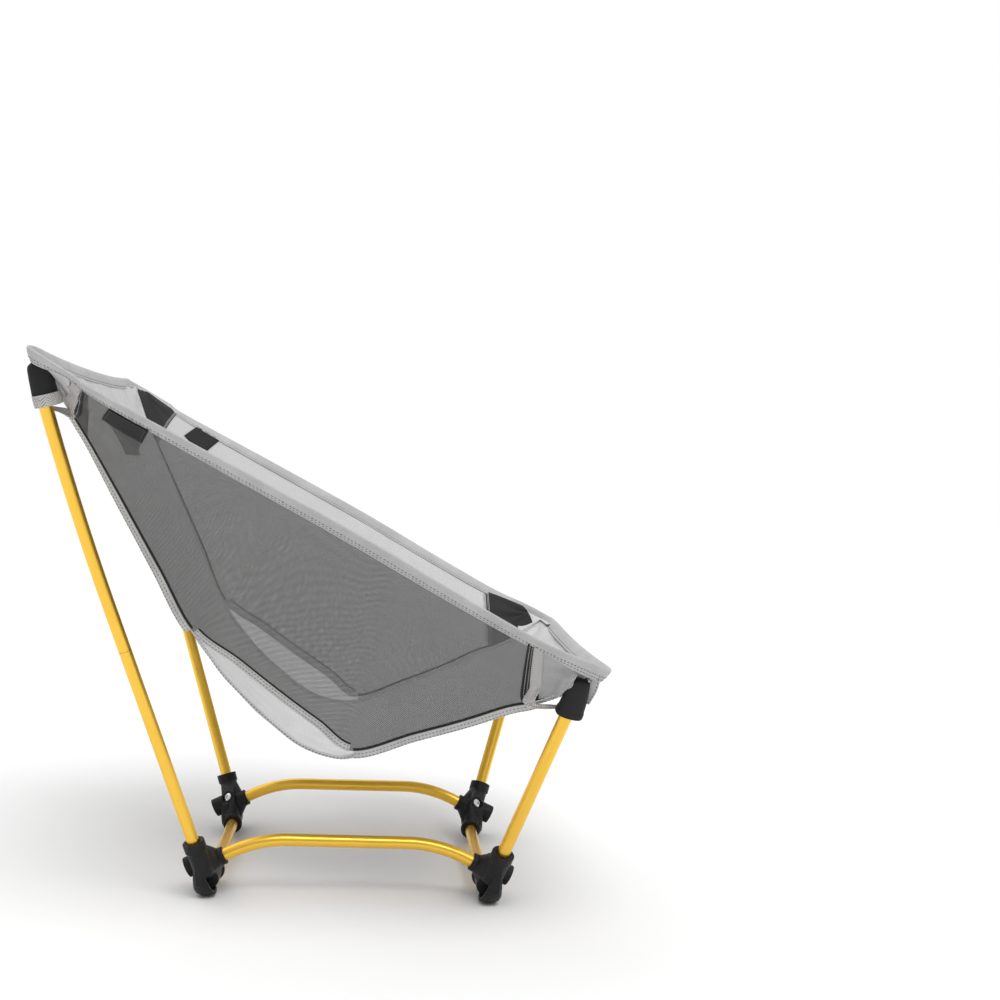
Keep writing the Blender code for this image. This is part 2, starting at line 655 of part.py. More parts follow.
def make_sleeve(name, line, reach, length, mouth_radius):
    """Black pole sleeve: a short tapered tube of cloth round an upright's tip."""
    direction = (line[-1] - line[-2]).normalized()
    inner = TUBE_RADIUS + 0.0008
    profile = [(inner, length), (inner + 0.0010, length), (mouth_radius, 0.0), (mouth_radius - 0.0010, 0.0),
               (inner, length)]
    place = frame_along(line[-1] - direction * reach, direction)
    return turned_object(name, profile, place, "black_fabric", 16)


def make_mouth_tape(name, line, reach):
    """Herringbone tape sewn round the mouth of a rear pole sleeve."""
    direction = (line[-1] - line[-2]).normalized()
    inner = 0.0086
    profile = [(inner, 0.0080), (inner + 0.0010, 0.0080), (inner + 0.0010, 0.0), (inner, 0.0), (inner, 0.0080)]
    place = frame_along(line[-1] - direction * (reach + 0.0002), direction)
    return turned_object(name, profile, place, "grey_tape", 16)


# ---------------------------------------------------------------- assembly
PANEL = panel_surface()
MESH = mesh_surface()
SIDES = {"left": -1, "right": 1}
ENDS = {"front": -1, "rear": 1}

for end_name, end in ENDS.items():
    for side_name, side in SIDES.items():
        make_hub(f"hub_{end_name}_{side_name}", side, end)
        make_screw(f"hub_screw_{end_name}_{side_name}", side, end)
    make_crossbar(f"crossbar_{end_name}", end)
    make_crossbar_cord(f"crossbar_cord_{end_name}", end)

for side_name, side in SIDES.items():
    make_rail(f"side_rail_{side_name}", side)

    front = front_pole_line(side)
    tube_object(f"front_pole_{side_name}", front, TUBE_RADIUS, "gold_tube", TUBE_WALL)
    make_tip(f"pole_tip_front_{side_name}", front)
    make_pole_cord(f"pole_cord_front_{side_name}", front)
    make_sleeve(f"pole_sleeve_front_{side_name}", front, 0.0300, 0.0300, 0.0086)

    lower = rear_lower_line(side)
    upper = rear_upper_line(side)
    tube_object(f"rear_pole_lower_{side_name}", lower, TUBE_RADIUS, "gold_tube", TUBE_WALL)
    tube_object(f"rear_pole_upper_{side_name}", upper, TUBE_RADIUS, "gold_tube", TUBE_WALL)
    make_ferrule(f"rear_ferrule_{side_name}", side)
    make_tip(f"pole_tip_rear_{side_name}", upper)
    make_pole_cord(f"pole_cord_rear_{side_name}", [lower[0]] + upper)
    make_sleeve(f"pole_sleeve_rear_{side_name}", upper, 0.0250, 0.0250, 0.0082)
    make_mouth_tape(f"sleeve_tape_rear_{side_name}", upper, 0.0250)

    sheet_object(f"side_mesh_{side_name}", MESH, (0.0, 0.925), (0.0, 1.0), side, 0.0, "dark_mesh")
    sheet_object(f"corner_lining_rear_{side_name}", MESH, (0.01, 0.095), (0.06, 0.94), side, LAYER,
                 "black_fabric", LAYER_SHEET)
    sheet_object(f"corner_lining_front_{side_name}", MESH, (0.905, 0.985), (0.25, 0.92), side, 0.0065,
                 "black_fabric", LAYER_SHEET)
    sheet_object(f"corner_strap_rear_{side_name}", MESH, (0.062, 0.083), (0.03, 0.97), side, -LAYER,
                 "grey_tape", LAYER_SHEET)
    sheet_object(f"corner_strap_front_{side_name}", MESH, (0.904, 0.924), (0.03, 0.97), side, -LAYER,
                 "grey_tape", LAYER_SHEET)
    sheet_object(f"lash_loop_{side_name}", MESH, (0.140, 0.198), (0.66, 0.90), side, LAYER,
                 "black_fabric", LAYER_SHEET)
    make_rim_side(f"rim_{side_name}", side)

    sheet_object(f"corner_patch_rear_{side_name}", MESH, (0.01, 0.058), (0.06, 0.94), side, -LAYER,
                 "grey_ripstop", LAYER_SHEET)
    sheet_object(f"corner_patch_front_{side_name}", MESH, (0.930, 0.955), (0.06, 0.94), side, -LAYER,
                 "grey_ripstop", LAYER_SHEET)

sheet_object("seat_panel", PANEL, (0.0, 1.0), (-1.0, 1.0), 1, 0.0, "grey_ripstop")
sheet_object("front_label", PANEL, (0.064, 0.119), (-0.20, 0.25), 1, LAYER, "black_fabric", LAYER_SHEET)
sheet_object("side_label", MESH, (0.128, 0.200), (0.62, 0.90), -1, -LAYER, "black_fabric", LAYER_SHEET)
make_rim_across("rim_back", RIM_BACK)
make_rim_across("rim_front", RIM_FRONT)
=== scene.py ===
"""Ultralight backpacking chair, made in finer detail on its CAD frame.

The helpers and materials come first, then the seat's surfaces, the camera, lights and floor,
the hubs and tubes, and last the sewn seat. Metres throughout, +Z up, and the chair faces -Y.
"""
import math

import bmesh
import bpy
import numpy as np
from mathutils import Matrix, Vector

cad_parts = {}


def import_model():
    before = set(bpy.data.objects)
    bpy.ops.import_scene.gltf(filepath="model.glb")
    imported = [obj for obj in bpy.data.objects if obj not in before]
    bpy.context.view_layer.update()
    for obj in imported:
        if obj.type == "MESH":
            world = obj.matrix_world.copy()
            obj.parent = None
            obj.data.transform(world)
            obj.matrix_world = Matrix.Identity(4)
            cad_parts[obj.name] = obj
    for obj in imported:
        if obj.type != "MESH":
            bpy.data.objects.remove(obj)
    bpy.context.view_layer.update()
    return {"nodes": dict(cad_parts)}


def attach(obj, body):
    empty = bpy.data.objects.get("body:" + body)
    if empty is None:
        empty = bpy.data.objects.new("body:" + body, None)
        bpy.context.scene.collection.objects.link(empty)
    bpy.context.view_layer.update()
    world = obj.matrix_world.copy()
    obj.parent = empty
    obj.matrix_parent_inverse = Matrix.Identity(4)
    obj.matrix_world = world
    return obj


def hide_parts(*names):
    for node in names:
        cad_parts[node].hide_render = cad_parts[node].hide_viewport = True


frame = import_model()

BASE_Y = -0.0206  # middle of the base; every point below is measured from it
SIDES = {"left": -1, "right": 1}
ENDS = {"front": -1, "rear": 1}
UP = np.array([0.0, 0.0, 1.0])
FORWARD = np.array([0.0, -1.0, 0.0])


# ---- number helpers
def unit(vectors):
    return vectors / np.maximum(np.linalg.norm(vectors, axis=-1, keepdims=True), 1e-12)


def run_lengths(points):
    """Distance along a line of points, from its first."""
    steps = np.linalg.norm(np.diff(points, axis=0), axis=1)
    return np.concatenate([[0.0], np.cumsum(steps)])


def looked_up(wanted, marks, table):
    """Rows of a table of points at the wanted marks."""
    return np.stack([np.interp(wanted, marks, table[:, k]) for k in range(3)], axis=-1)


def resampled(points, count):
    """The same line with evenly spaced points."""
    lengths = run_lengths(points)
    return looked_up(np.linspace(0.0, lengths[-1], count), lengths, points)


def smooth(points, count):
    """Evenly spaced points on a Catmull-Rom curve through the given points."""
    spots = np.array([tuple(p) for p in points], float)
    spots = np.vstack([2 * spots[:1] - spots[1:2], spots, 2 * spots[-1:] - spots[-2:-1]])
    t = np.linspace(0.0, 1.0, 24, endpoint=False)[:, None]
    fine = []
    for i in range(1, len(spots) - 2):
        a, b, c, d = spots[i - 1:i + 3]
        fine.append(0.5 * (2 * b + (c - a) * t + (2 * a - 5 * b + 4 * c - d) * t ** 2
                           + (3 * b - a - 3 * c + d) * t ** 3))
    return resampled(np.vstack(fine + [spots[-2:-1]]), count)


def at(table, u):
    """Points of an evenly spaced line, at shares u of its length."""
    return looked_up(u, np.linspace(0.0, 1.0, len(table)), table)


def ramp(value, low, high):
    t = np.clip((value - low) / (high - low), 0.0, 1.0)
    return t * t * (3.0 - 2.0 * t)


def millimetres(*rows):
    return [tuple(number / 1000.0 for number in row) for row in rows]


def world(points, side=1):
    """World place of points given for the right side, from the middle of the base."""
    placed = np.array(points, float) * (side, 1.0, 1.0)
    placed[..., 1] += BASE_Y
    return placed


# ---- node helpers
class Finish:
    """A Principled material that is built up from nodes."""

    def __init__(self, name, colour, roughness, **constants):
        self.material = bpy.data.materials.new(name)
        self.material.use_nodes = True
        self.tree = self.material.node_tree
        self.shader = self.tree.nodes["Principled BSDF"]
        self.shader.inputs["Base Color"].default_value = (*colour, 1.0)
        self.shader.inputs["Roughness"].default_value = roughness
        for key, value in constants.items():
            self.shader.inputs[key.replace("_", " ")].default_value = value
        self.uv = self.node("UVMap").outputs["UV"]
        self.place = self.node("TexCoord").outputs["Object"]

    def node(self, kind, **settings):
        """New node; settings are its properties or, with a capital, its inputs."""
        node = self.tree.nodes.new("ShaderNode" + kind)
        for key, value in settings.items():
            if key[0].isupper():
                self.put(node.inputs[key.replace("_", " ")], value)
            else:
                setattr(node, key, value)
        return node

    def put(self, socket, value):
        if isinstance(value, bpy.types.NodeSocket):
            self.tree.links.new(value, socket)
        else:
            socket.default_value = value

    def calc(self, operation, first, second=0.0, third=0.0):
        node = self.node("Math", operation=operation)
        for socket, value in zip(node.inputs, (first, second, third)):
            self.put(socket, value)
        return node.outputs[0]

    def turned(self, degrees):
        """The two UV axes in metres, turned by an angle."""
        turn = self.node("Mapping", Rotation=(0.0, 0.0, math.radians(degrees)), Vector=self.uv)
        split = self.node("SeparateXYZ", Vector=turn.outputs[0])
        return split.outputs[0], split.outputs[1]

    def wave(self, value, pitch):
        """Sine of a length, from -1 to 1, with one cycle in each pitch."""
        return self.calc("SINE", self.calc("MULTIPLY_ADD", value, math.tau / pitch, 0.0))

    def noise(self, scale, detail=2.0, source=None, stretch=None):
        """Cloudy value from 0 to 1."""
        source = source or self.place
        if stretch:
            source = self.node("Mapping", Scale=stretch, Vector=source).outputs[0]
        return self.node("TexNoise", Scale=scale, Detail=detail, Vector=source).outputs["Fac"]

    def scaled(self, value, low, high, new_low, new_high):
        node = self.node("MapRange", interpolation_type="SMOOTHSTEP", Value=value, From_Min=low,
                         From_Max=high, To_Min=new_low, To_Max=new_high)
        return node.outputs["Result"]

    def mixed(self, share, first, second):
        """Colour between two colours."""
        node = self.node("Mix", data_type="RGBA", Factor=share)
        for key, colour in (("A", first), ("B", second)):
            socket = [s for s in node.inputs if s.name == key and s.type == "RGBA"][0]
            self.put(socket, (*colour, 1.0) if isinstance(colour, tuple) else colour)
        return [s for s in node.outputs if s.type == "RGBA"][0]

    def colour(self, value):
        self.put(self.shader.inputs["Base Color"], value)

    def roughness(self, value):
        self.put(self.shader.inputs["Roughness"], value)

    def bump(self, height, distance, strength=1.0):
        node = self.node("Bump", Strength=strength, Distance=distance, Height=height)
        self.put(self.shader.inputs["Normal"], node.outputs[0])

    def holes(self, cover):
        """Lets light through where cover is 0."""
        mix = self.node("MixShader")
        self.put(mix.inputs[0], cover)
        self.put(mix.inputs[1], self.node("BsdfTransparent").outputs[0])
        self.put(mix.inputs[2], self.shader.outputs[0])
        self.put(self.tree.nodes["Material Output"].inputs["Surface"], mix.outputs[0])


def tone(colour, factor):
    return tuple(min(c * factor, 1.0) for c in colour)


def woven_finish(name, colour, pitch=0.0006, grid=None, roughness=0.8, shade=0.1, sheen=0.15,
                 gloss=0.3):
    """Plain-woven cloth: fine yarns, faint cloudy shade and, if asked, a raised ripstop grid."""
    cloth = Finish(name, colour, roughness, Sheen_Weight=sheen, Specular_IOR_Level=gloss)
    along, across = cloth.turned(0.0)
    yarns = cloth.calc("MULTIPLY", cloth.wave(along, pitch), cloth.wave(across, pitch))
    cloud = cloth.noise(42.0, 4.0)
    fleck = cloth.noise(900.0)
    share = cloth.calc("MULTIPLY_ADD", cloud, 0.6, cloth.calc("MULTIPLY", fleck, 0.5))
    dark, light = tone(colour, 1.0 - shade), tone(colour, 1.0 + shade)
    mixed = cloth.mixed(cloth.scaled(share, 0.3, 0.8, 0.0, 1.0), dark, light)
    height = yarns
    if grid:
        lines = [cloth.calc("ABSOLUTE", cloth.wave(way, 2.0 * grid)) for way in (along, across)]
        ridge = cloth.scaled(cloth.calc("MAXIMUM", *lines), 0.985, 1.0, 0.0, 1.0)
        mixed = cloth.mixed(cloth.calc("MULTIPLY", ridge, 0.35), mixed, tone(colour, 0.8))
        height = cloth.calc("MULTIPLY_ADD", ridge, 2.0, yarns)
    cloth.colour(mixed)
    cloth.roughness(cloth.scaled(cloud, 0.2, 0.8, roughness - 0.06, roughness + 0.08))
    cloth.bump(height, 0.00012, 0.5)
    return cloth.material


def tape_finish(name, colour, dark, rib=0.003, pitch=0.0022):
    """Herringbone webbing: slanted ribs that turn about every few ribs, dark flecks between."""
    cloth = Finish(name, colour, 0.85, Sheen_Weight=0.2, Specular_IOR_Level=0.3)
    along, across = cloth.turned(0.0)
    ribs = cloth.wave(cloth.calc("ADD", along, cloth.calc("PINGPONG", across, rib)), pitch)
    fleck = cloth.scaled(cloth.noise(1500.0), 0.38, 0.55, 0.0, 1.0)
    valleys = cloth.scaled(ribs, -1.0, -0.2, 1.0, 0.0)
    cloth.colour(cloth.mixed(cloth.calc("MULTIPLY", valleys, fleck), colour, dark))
    cloth.bump(ribs, 0.00035)
    return cloth.material


def mesh_finish(name, colour, dark, slant=38.0, pitch=0.0021, edge=0.488, blur=0.3):
    """Sheer knitted mesh: round soft-edged holes on a slanted grid."""
    cloth = Finish(name, colour, 0.75, Sheen_Weight=0.1, Specular_IOR_Level=0.3)
    waves = [cloth.wave(way, pitch) for way in cloth.turned(slant)]
    threads = cloth.calc("ABSOLUTE", cloth.calc("MULTIPLY", *waves))
    cloth.colour(cloth.mixed(cloth.scaled(threads, 0.0, 0.9, 0.0, 1.0), colour, dark))
    cloth.bump(cloth.calc("MULTIPLY_ADD", cloth.noise(160.0, 3.0), 0.4, threads), 0.00008, 0.25)
    cloth.holes(cloth.scaled(threads, edge - blur, edge + blur, 0.88, 0.26))
    return cloth.material


def grain_finish(name, colour, roughness, tones, grain, relief, cloud=None, rough=None, **more):
    """Grained surface, shaded between two tones and roughened by its grain or by a cloud."""
    look = Finish(name, colour, roughness, **more)
    height = look.noise(*grain)
    shade = look.noise(*cloud) if cloud else height
    look.colour(look.mixed(shade, tone(colour, tones[0]), tone(colour, tones[1])))
    if rough:
        look.roughness(look.scaled(shade, *rough))
    look.bump(height, *relief)
    return look.material


def thread_finish(name, colour):
    return grain_finish(name, colour, 0.6, (0.75, 1.15), (2500.0, 1.0), (0.0001, 0.5),
                        Sheen_Weight=0.3)


def moulded_finish(name, colour):
    """Glass-filled nylon: fine spark-eroded grain, a little shine and cloudy flow marks."""
    return grain_finish(name, colour, 0.5, (0.8, 1.35), (1600.0, 3.0), (0.00012, 0.45),
                        (60.0, 3.0), (0.25, 0.75, 0.43, 0.58), Specular_IOR_Level=0.28)


def metal_finish(name, colour, roughness):
    return grain_finish(name, colour, roughness, (0.85, 1.0), (700.0, 3.0), (0.00004, 0.3),
                        rough=(0.2, 0.8, roughness - 0.06, roughness + 0.1), Metallic=1.0)


def gold_finish(name):
    """Anodised aluminium: a warm dyed coat over drawn metal, faintly streaked along the tube."""
    metal = Finish(name, GOLD, 0.3, Metallic=1.0, Coat_Weight=0.35, Coat_Roughness=0.18,
                   Coat_IOR=1.55, Coat_Tint=(1.0, 0.78, 0.34, 1.0))
    streak = metal.noise(1.0, 3.0, metal.uv, stretch=(60.0, 900.0, 1.0))
    cloud = metal.noise(30.0, 3.0)
    share = metal.calc("MULTIPLY_ADD", streak, 0.6, metal.calc("MULTIPLY", cloud, 0.4))
    metal.colour(metal.mixed(metal.scaled(share, 0.3, 0.7, 0.0, 1.0), tone(GOLD, 0.93), GOLD))
    metal.roughness(metal.scaled(streak, 0.25, 0.75, 0.27, 0.36))
    metal.bump(streak, 0.00004, 0.3)
    return metal.material


def braid_finish(name, colour):
    """Elastic cord's braided cover."""
    cord = Finish(name, colour, 0.85, Sheen_Weight=0.3)
    cell = cord.noise(1300.0, 1.0)
    share = cord.scaled(cell, 0.4, 0.6, 0.0, 1.0)
    cord.colour(cord.mixed(share, tone(colour, 0.6), tone(colour, 1.8)))
    cord.bump(cell, 0.0002, 0.8)
    return cord.material


def grey(value):
    return (value, value, value)


GOLD = (0.95, 0.63, 0.085)
LOOKS = {
    "gold": gold_finish("anodised_gold"),
    "plastic": moulded_finish("moulded_black", (0.008, 0.008, 0.009)),
    "screw": metal_finish("bright_screw_steel", (0.86, 0.86, 0.87), 0.22),
    "ferrule": metal_finish("raw_aluminium", (0.72, 0.73, 0.75), 0.35),
    "cord": braid_finish("elastic_braid", grey(0.05)),
    "panel": woven_finish("ripstop_grey", grey(0.56), grid=0.0045),
    "patch": woven_finish("patch_grey", (0.4, 0.395, 0.4), grid=0.0045, shade=0.07),
    "hem": woven_finish("hem_grey", grey(0.45), pitch=0.0008, shade=0.13),
    "binding": woven_finish("binding_grey", grey(0.52), pitch=0.0009, shade=0.16),
    "black": woven_finish("pocket_black", (0.016, 0.016, 0.017), pitch=0.0007, shade=0.25,
                          roughness=0.6, sheen=0.02, gloss=0.22),
    "lining": woven_finish("lining_black", (0.02, 0.02, 0.021), pitch=0.0007, shade=0.2,
                           roughness=0.65, sheen=0.02, gloss=0.22),
    "label": woven_finish("label_black", (0.011, 0.011, 0.012), pitch=0.0005, shade=0.25,
                          roughness=0.6, sheen=0.02, gloss=0.2),
    "tape": tape_finish("herringbone_grey", (0.68, 0.66, 0.655), grey(0.08)),
    # One mesh cloth in two copies: the inner face is painted lighter as the lit side, the outer face
    # painted darker as the shaded side.
    "mesh_in_painted_lit": mesh_finish("mesh_painted_lit_side", grey(0.56), grey(0.5)),
    "mesh_out_painted_shade": mesh_finish("mesh_painted_shaded_side", (0.08, 0.079, 0.079), grey(0.028)),
    "thread_light": thread_finish("thread_light", (0.62, 0.61, 0.61)),
    "thread_dark": thread_finish("thread_dark", grey(0.055)),
    "thread_white": thread_finish("thread_white", grey(0.8)),
}


# ---- mesh helpers
def linked(name, data):
    thing = bpy.data.objects.new(name, data)
    bpy.context.scene.collection.objects.link(thing)
    return thing


def add_piece(name, points, faces, looks, uvs=None, smooth_angle=60.0, closed=False):
    """New mesh object with its materials, UVs in metres if given, and outward faces if closed."""
    mesh = bpy.data.meshes.new(name)
    mesh.from_pydata([tuple(p) for p in np.reshape(points, (-1, 3))], [], faces)
    for look in looks:
        mesh.materials.append(LOOKS[look])
    if uvs is not None:
        layer = mesh.uv_layers.new(name="UVMap")
        corners = np.empty(len(mesh.loops), dtype=np.int32)
        mesh.loops.foreach_get("vertex_index", corners)
        flat = np.array(uvs, np.float32)[corners]
        layer.data.foreach_set("uv", np.ascontiguousarray(flat).ravel())
    mesh.shade_smooth()
    mesh.set_sharp_from_angle(angle=math.radians(smooth_angle))
    if closed:
        work = bmesh.new()
        work.from_mesh(mesh)
        bmesh.ops.recalc_face_normals(work, faces=work.faces)
        work.to_mesh(mesh)
        work.free()
    return linked(name, mesh)


def place(thing, body, nodes=()):
    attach(thing, body)
    if nodes:
        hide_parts(*nodes)
    return thing


def grid_faces(rows, columns, closed_rows=False, closed_columns=False, flip=False):
    faces = []
    for i in range(rows if closed_rows else rows - 1):
        for j in range(columns if closed_columns else columns - 1):
            a, b = i * columns + j, ((i + 1) % rows) * columns + j
            c = ((i + 1) % rows) * columns + (j + 1) % columns
            d = i * columns + (j + 1) % columns
            faces.append((a, d, c, b) if flip else (a, b, c, d))
    return faces


def uv_grid(along, across):
    """UVs of a grid from its lengths in metres along the rows and across them."""
    return np.stack(np.broadcast_arrays(along[:, None], across[None, :]), axis=-1).reshape(-1, 2)


def tangents(points, closed=False):
    if closed:
        return unit(np.roll(points, -1, axis=0) - np.roll(points, 1, axis=0))
    return unit(np.gradient(points, axis=0))


def steady_frames(points):
    """Two axes across a line that don't twist along it."""
    runs = tangents(points)
    first = UP if abs(runs[0][2]) < 0.8 else -FORWARD
    firsts = []
    for run in runs:
        first = unit(first - run * first.dot(run))
        firsts.append(first)
    firsts = np.array(firsts)
    return firsts, np.cross(runs, firsts)


def tube(name, points, body, node, sides=36):
    """Round gold tube with open ends and a wall, in place of a solid CAD tube."""
    first, second = steady_frames(points)
    angles = np.linspace(0.0, math.tau, sides, endpoint=False)
    ring = (first[:, None] * np.cos(angles)[None, :, None]
            + second[:, None] * np.sin(angles)[None, :, None])
    lengths = run_lengths(points)
    outer = points[:, None] + ring * TUBE_RADIUS
    inner = points[:, None] + ring * (TUBE_RADIUS - TUBE_WALL)
    verts = np.concatenate([outer, inner[::-1]])
    faces = grid_faces(len(verts), sides, closed_rows=True, closed_columns=True)
    uvs = uv_grid(np.concatenate([lengths, lengths[::-1]]), angles * TUBE_RADIUS)
    thing = add_piece(name, verts, faces, ["gold"], uvs, 40.0, closed=True)
    place(thing, body, [node])


def swept(name, centres, rights, ups, sections, look, closed=False):
    """Closed section carried along a line; sections is one (a, b) outline or one per point."""
    outlines = np.broadcast_to(sections, (len(centres),) + np.shape(sections)[-2:])
    verts = (centres[:, None] + rights[:, None] * outlines[..., :1]
             + ups[:, None] * outlines[..., 1:])
    rows, columns = verts.shape[:2]
    faces = grid_faces(rows, columns, closed, True)
    if not closed:
        faces += [tuple(range(columns)),
                  tuple(reversed(range((rows - 1) * columns, rows * columns)))]
    around = run_lengths(outlines[0])
    return add_piece(name, verts, faces, [look], uv_grid(run_lengths(centres), around), 70.0,
                     closed=True)


def flat_outline(width, thickness, low=0.0, steps=5):
    """Outline of a flat band, a from low to low + width, with round edges."""
    half = thickness / 2.0
    angles = np.linspace(math.pi / 2.0, -math.pi / 2.0, steps)
    ends = [(low + width - half + half * math.cos(a), half * math.sin(a)) for a in angles]
    starts = [(low + half - half * math.cos(a), -half * math.sin(a)) for a in angles]
    middle = [low + width * k / 4.0 for k in (1, 2, 3)]
    return [(a, half) for a in middle] + ends + [(a, -half) for a in reversed(middle)] + starts


# A stitch's rings: place along it, share of its radius, and how far it sinks into the cloth.
STITCH_RINGS = ((-0.5, 0.45, 0.5), (-0.25, 1.0, 0.0), (0.25, 1.0, 0.0), (0.5, 0.45, 0.5))
STITCH_SIDES = 6
STITCH_FACES = (grid_faces(len(STITCH_RINGS), STITCH_SIDES, closed_columns=True)
                + [tuple(range(STITCH_SIDES)),
                   tuple(reversed(range(3 * STITCH_SIDES, 4 * STITCH_SIDES)))])


def stitches(name, lines, ups, thread, pitch, length, radius):
    """Short raised thread stitches along lines of points; ups are the cloth's normals there."""
    verts, faces = [], []
    turns = [math.tau * k / STITCH_SIDES for k in range(STITCH_SIDES)]
    for line, up in zip(lines, ups):
        lengths = run_lengths(line)
        count = max(int(lengths[-1] / pitch), 2)
        wanted = (np.arange(count) + 0.5) * lengths[-1] / count
        spots = looked_up(wanted, lengths, line)
        normals = unit(looked_up(wanted, lengths, up))
        runs = tangents(spots)
        for spot, run, normal, aside in zip(spots, runs, normals, np.cross(runs, normals)):
            start = len(verts)
            for share, size, sink in STITCH_RINGS:
                middle = spot + run * (length * share) - normal * (radius * sink)
                verts += [middle + (aside * math.cos(turn) + normal * math.sin(turn))
                          * radius * size for turn in turns]
            faces += [tuple(start + k for k in face) for face in STITCH_FACES]
    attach(add_piece(name, verts, faces, [f"thread_{thread}"], None, 80.0, closed=True), "seat")


# ---- seat surfaces (right half, from the base's middle)
TABLE_POINTS = 601
PANEL_EDGE = smooth(millimetres(
    (220.5, 244.2, 461.2), (197.5, 226.5, 418), (183, 209.5, 385), (153, 164, 293), (133, 137, 237),
    (126, 110, 200), (127.5, 80, 170), (135, 45, 143), (142.5, 15, 133), (144.5, -5, 135),
    (154, -54, 153), (167, -96, 168), (181, -130, 182.5), (188, -151, 188.5), (195, -174, 198.5),
    (204, -200, 215.5)), TABLE_POINTS)
PANEL_MIDDLE = smooth(millimetres(
    (0, 246, 458), (0, 200, 362), (0, 150, 250), (0, 118, 195), (0, 78, 151), (0, 35, 124),
    (0, -10, 120), (0, -60, 136), (0, -110, 157), (0, -160, 181), (0, -209, 210.2)), TABLE_POINTS)
MESH_FOOT = smooth(millimetres(
    (221.2, 243.7, 460.8), (198.3, 226.2, 418), (183.8, 209.2, 385), (153.8, 163.8, 293),
    (134.2, 136.8, 237.5), (137.2, 98, 209), (143, 63, 183), (147.5, 30, 160), (146, -3, 137.5),
    (154.8, -54, 154), (167.8, -96, 169), (181.8, -130, 183.5), (188.8, -151, 189.5),
    (195.8, -174, 199.5), (205, -199.2, 216.2)), TABLE_POINTS)
MESH_TOP = smooth(millimetres(
    (241, 235, 456), (249, 212, 440.5), (251.2, 193, 427), (250.8, 98.5, 375.7), (248.2, -2, 322.2),
    (246, -81, 277.2), (242.2, -133, 248.2), (235, -157, 238.8), (220, -183, 228.8)), TABLE_POINTS)
HEM_HALF = millimetres(
    (0, 246.5, 460), (100, 247.5, 461.2), (204.6, 250.5, 465), (227, 252.5, 465.2),
    (241.5, 248.5, 462.5), (249, 235, 455.2), (253, 213, 443), (254, 195, 430.5),
    (253.6, 98.5, 379.5), (251, -2, 326), (248.8, -81, 281), (245, -134, 251.5),
    (239.5, -160, 238.5), (229, -186, 227), (209, -204.5, 218), (180, -209.5, 216),
    (90, -209.5, 214), (0, -209.5, 213))
CROWN = 4.0  # how flat the main panel lies between its edges
BULGE = 0.009  # how far a side mesh bows inward
MESH_HEIGHT = 0.1  # stands for a mesh's height where w is turned into metres
PANEL_LENGTH = run_lengths(PANEL_EDGE)[-1]
MESH_LENGTH = run_lengths(MESH_TOP)[-1]


def folds(ahead, aside, reach, count, depth, phase):
    """Tension folds that fan out from a corner and die away."""
    away = np.hypot(ahead, aside)
    fan = np.arctan2(ahead, aside)
    return depth * ramp(away, 0.004, 0.022) * np.exp(-away / reach) * np.cos(count * fan + phase)


def slack(x, y, depth):
    """Soft unevenness of stretched cloth."""
    return depth * (np.sin(61.0 * x + 23.0 * y + 0.7) * np.sin(17.0 * x - 47.0 * y + 1.9)
                    + 0.5 * np.sin(113.0 * x - 71.0 * y + 0.3) * np.sin(37.0 * x + 97.0 * y))


def bare_panel(u, v):
    edge, middle = at(PANEL_EDGE, u), at(PANEL_MIDDLE, u)
    points = middle + (edge - middle) * (np.abs(v) ** CROWN)[..., None]
    points[..., 0] = edge[..., 0] * v
    return points


def bare_mesh(u, w):
    foot, top = at(MESH_FOOT, u), at(MESH_TOP, u)
    chord = top - foot
    inward = unit(np.stack([-chord[..., 2], np.zeros_like(u), chord[..., 0]], axis=-1))
    bow = BULGE * np.sin(math.pi * np.clip(u, 0.0, 1.0)) * np.sin(math.pi * np.clip(w, 0.0, 1.0))
    return foot + chord * w[..., None] + inward * bow[..., None]


def normals_of(surface, u, v):
    """Unit normals of a surface, towards the sitter."""
    step = 0.002
    along = surface(np.clip(u + step, 0.0, 1.0), v) - surface(np.clip(u - step, 0.0, 1.0), v)
    return unit(np.cross(along, surface(u, v + step) - surface(u, v - step)))


def panel(u, v):
    """Main panel with its tension folds: u from back to front, v across from -1 to 1."""
    ahead, aside = u * PANEL_LENGTH, v * at(PANEL_EDGE, u)[..., 0]
    wave = slack(ahead, aside, 0.0005)
    for corner, half, phase in ((0, 1, 0.4), (0, -1, 2.2), (-1, 1, 1.3), (-1, -1, 3.0)):
        start = PANEL_EDGE[corner][0] * half
        away = ahead + corner * PANEL_LENGTH
        wave = wave + folds(away, aside - start, 0.06, 9.0, 0.0017, phase)
    wave = wave * ramp(1.0 - np.abs(v), 0.0, 0.04)
    return bare_panel(u, v) + normals_of(bare_panel, u, v) * wave[..., None]


def mesh_side(u, w):
    """Right side mesh with its folds: u from back to front, w from the seam up to the rim."""
    ahead, up = u * MESH_LENGTH, w * MESH_HEIGHT
    middle = up - MESH_HEIGHT / 2.0
    wave = slack(ahead, up, 0.0004)
    wave = wave + folds(ahead, middle, 0.09, 7.0, 0.0013, 0.6)
    wave = wave + folds(ahead - MESH_LENGTH, middle, 0.08, 7.0, 0.0012, 1.8)
    wave = wave * np.sin(math.pi * np.clip(w, 0.0, 1.0)) ** 0.5
    return bare_mesh(u, w) + normals_of(bare_mesh, u, w) * wave[..., None]


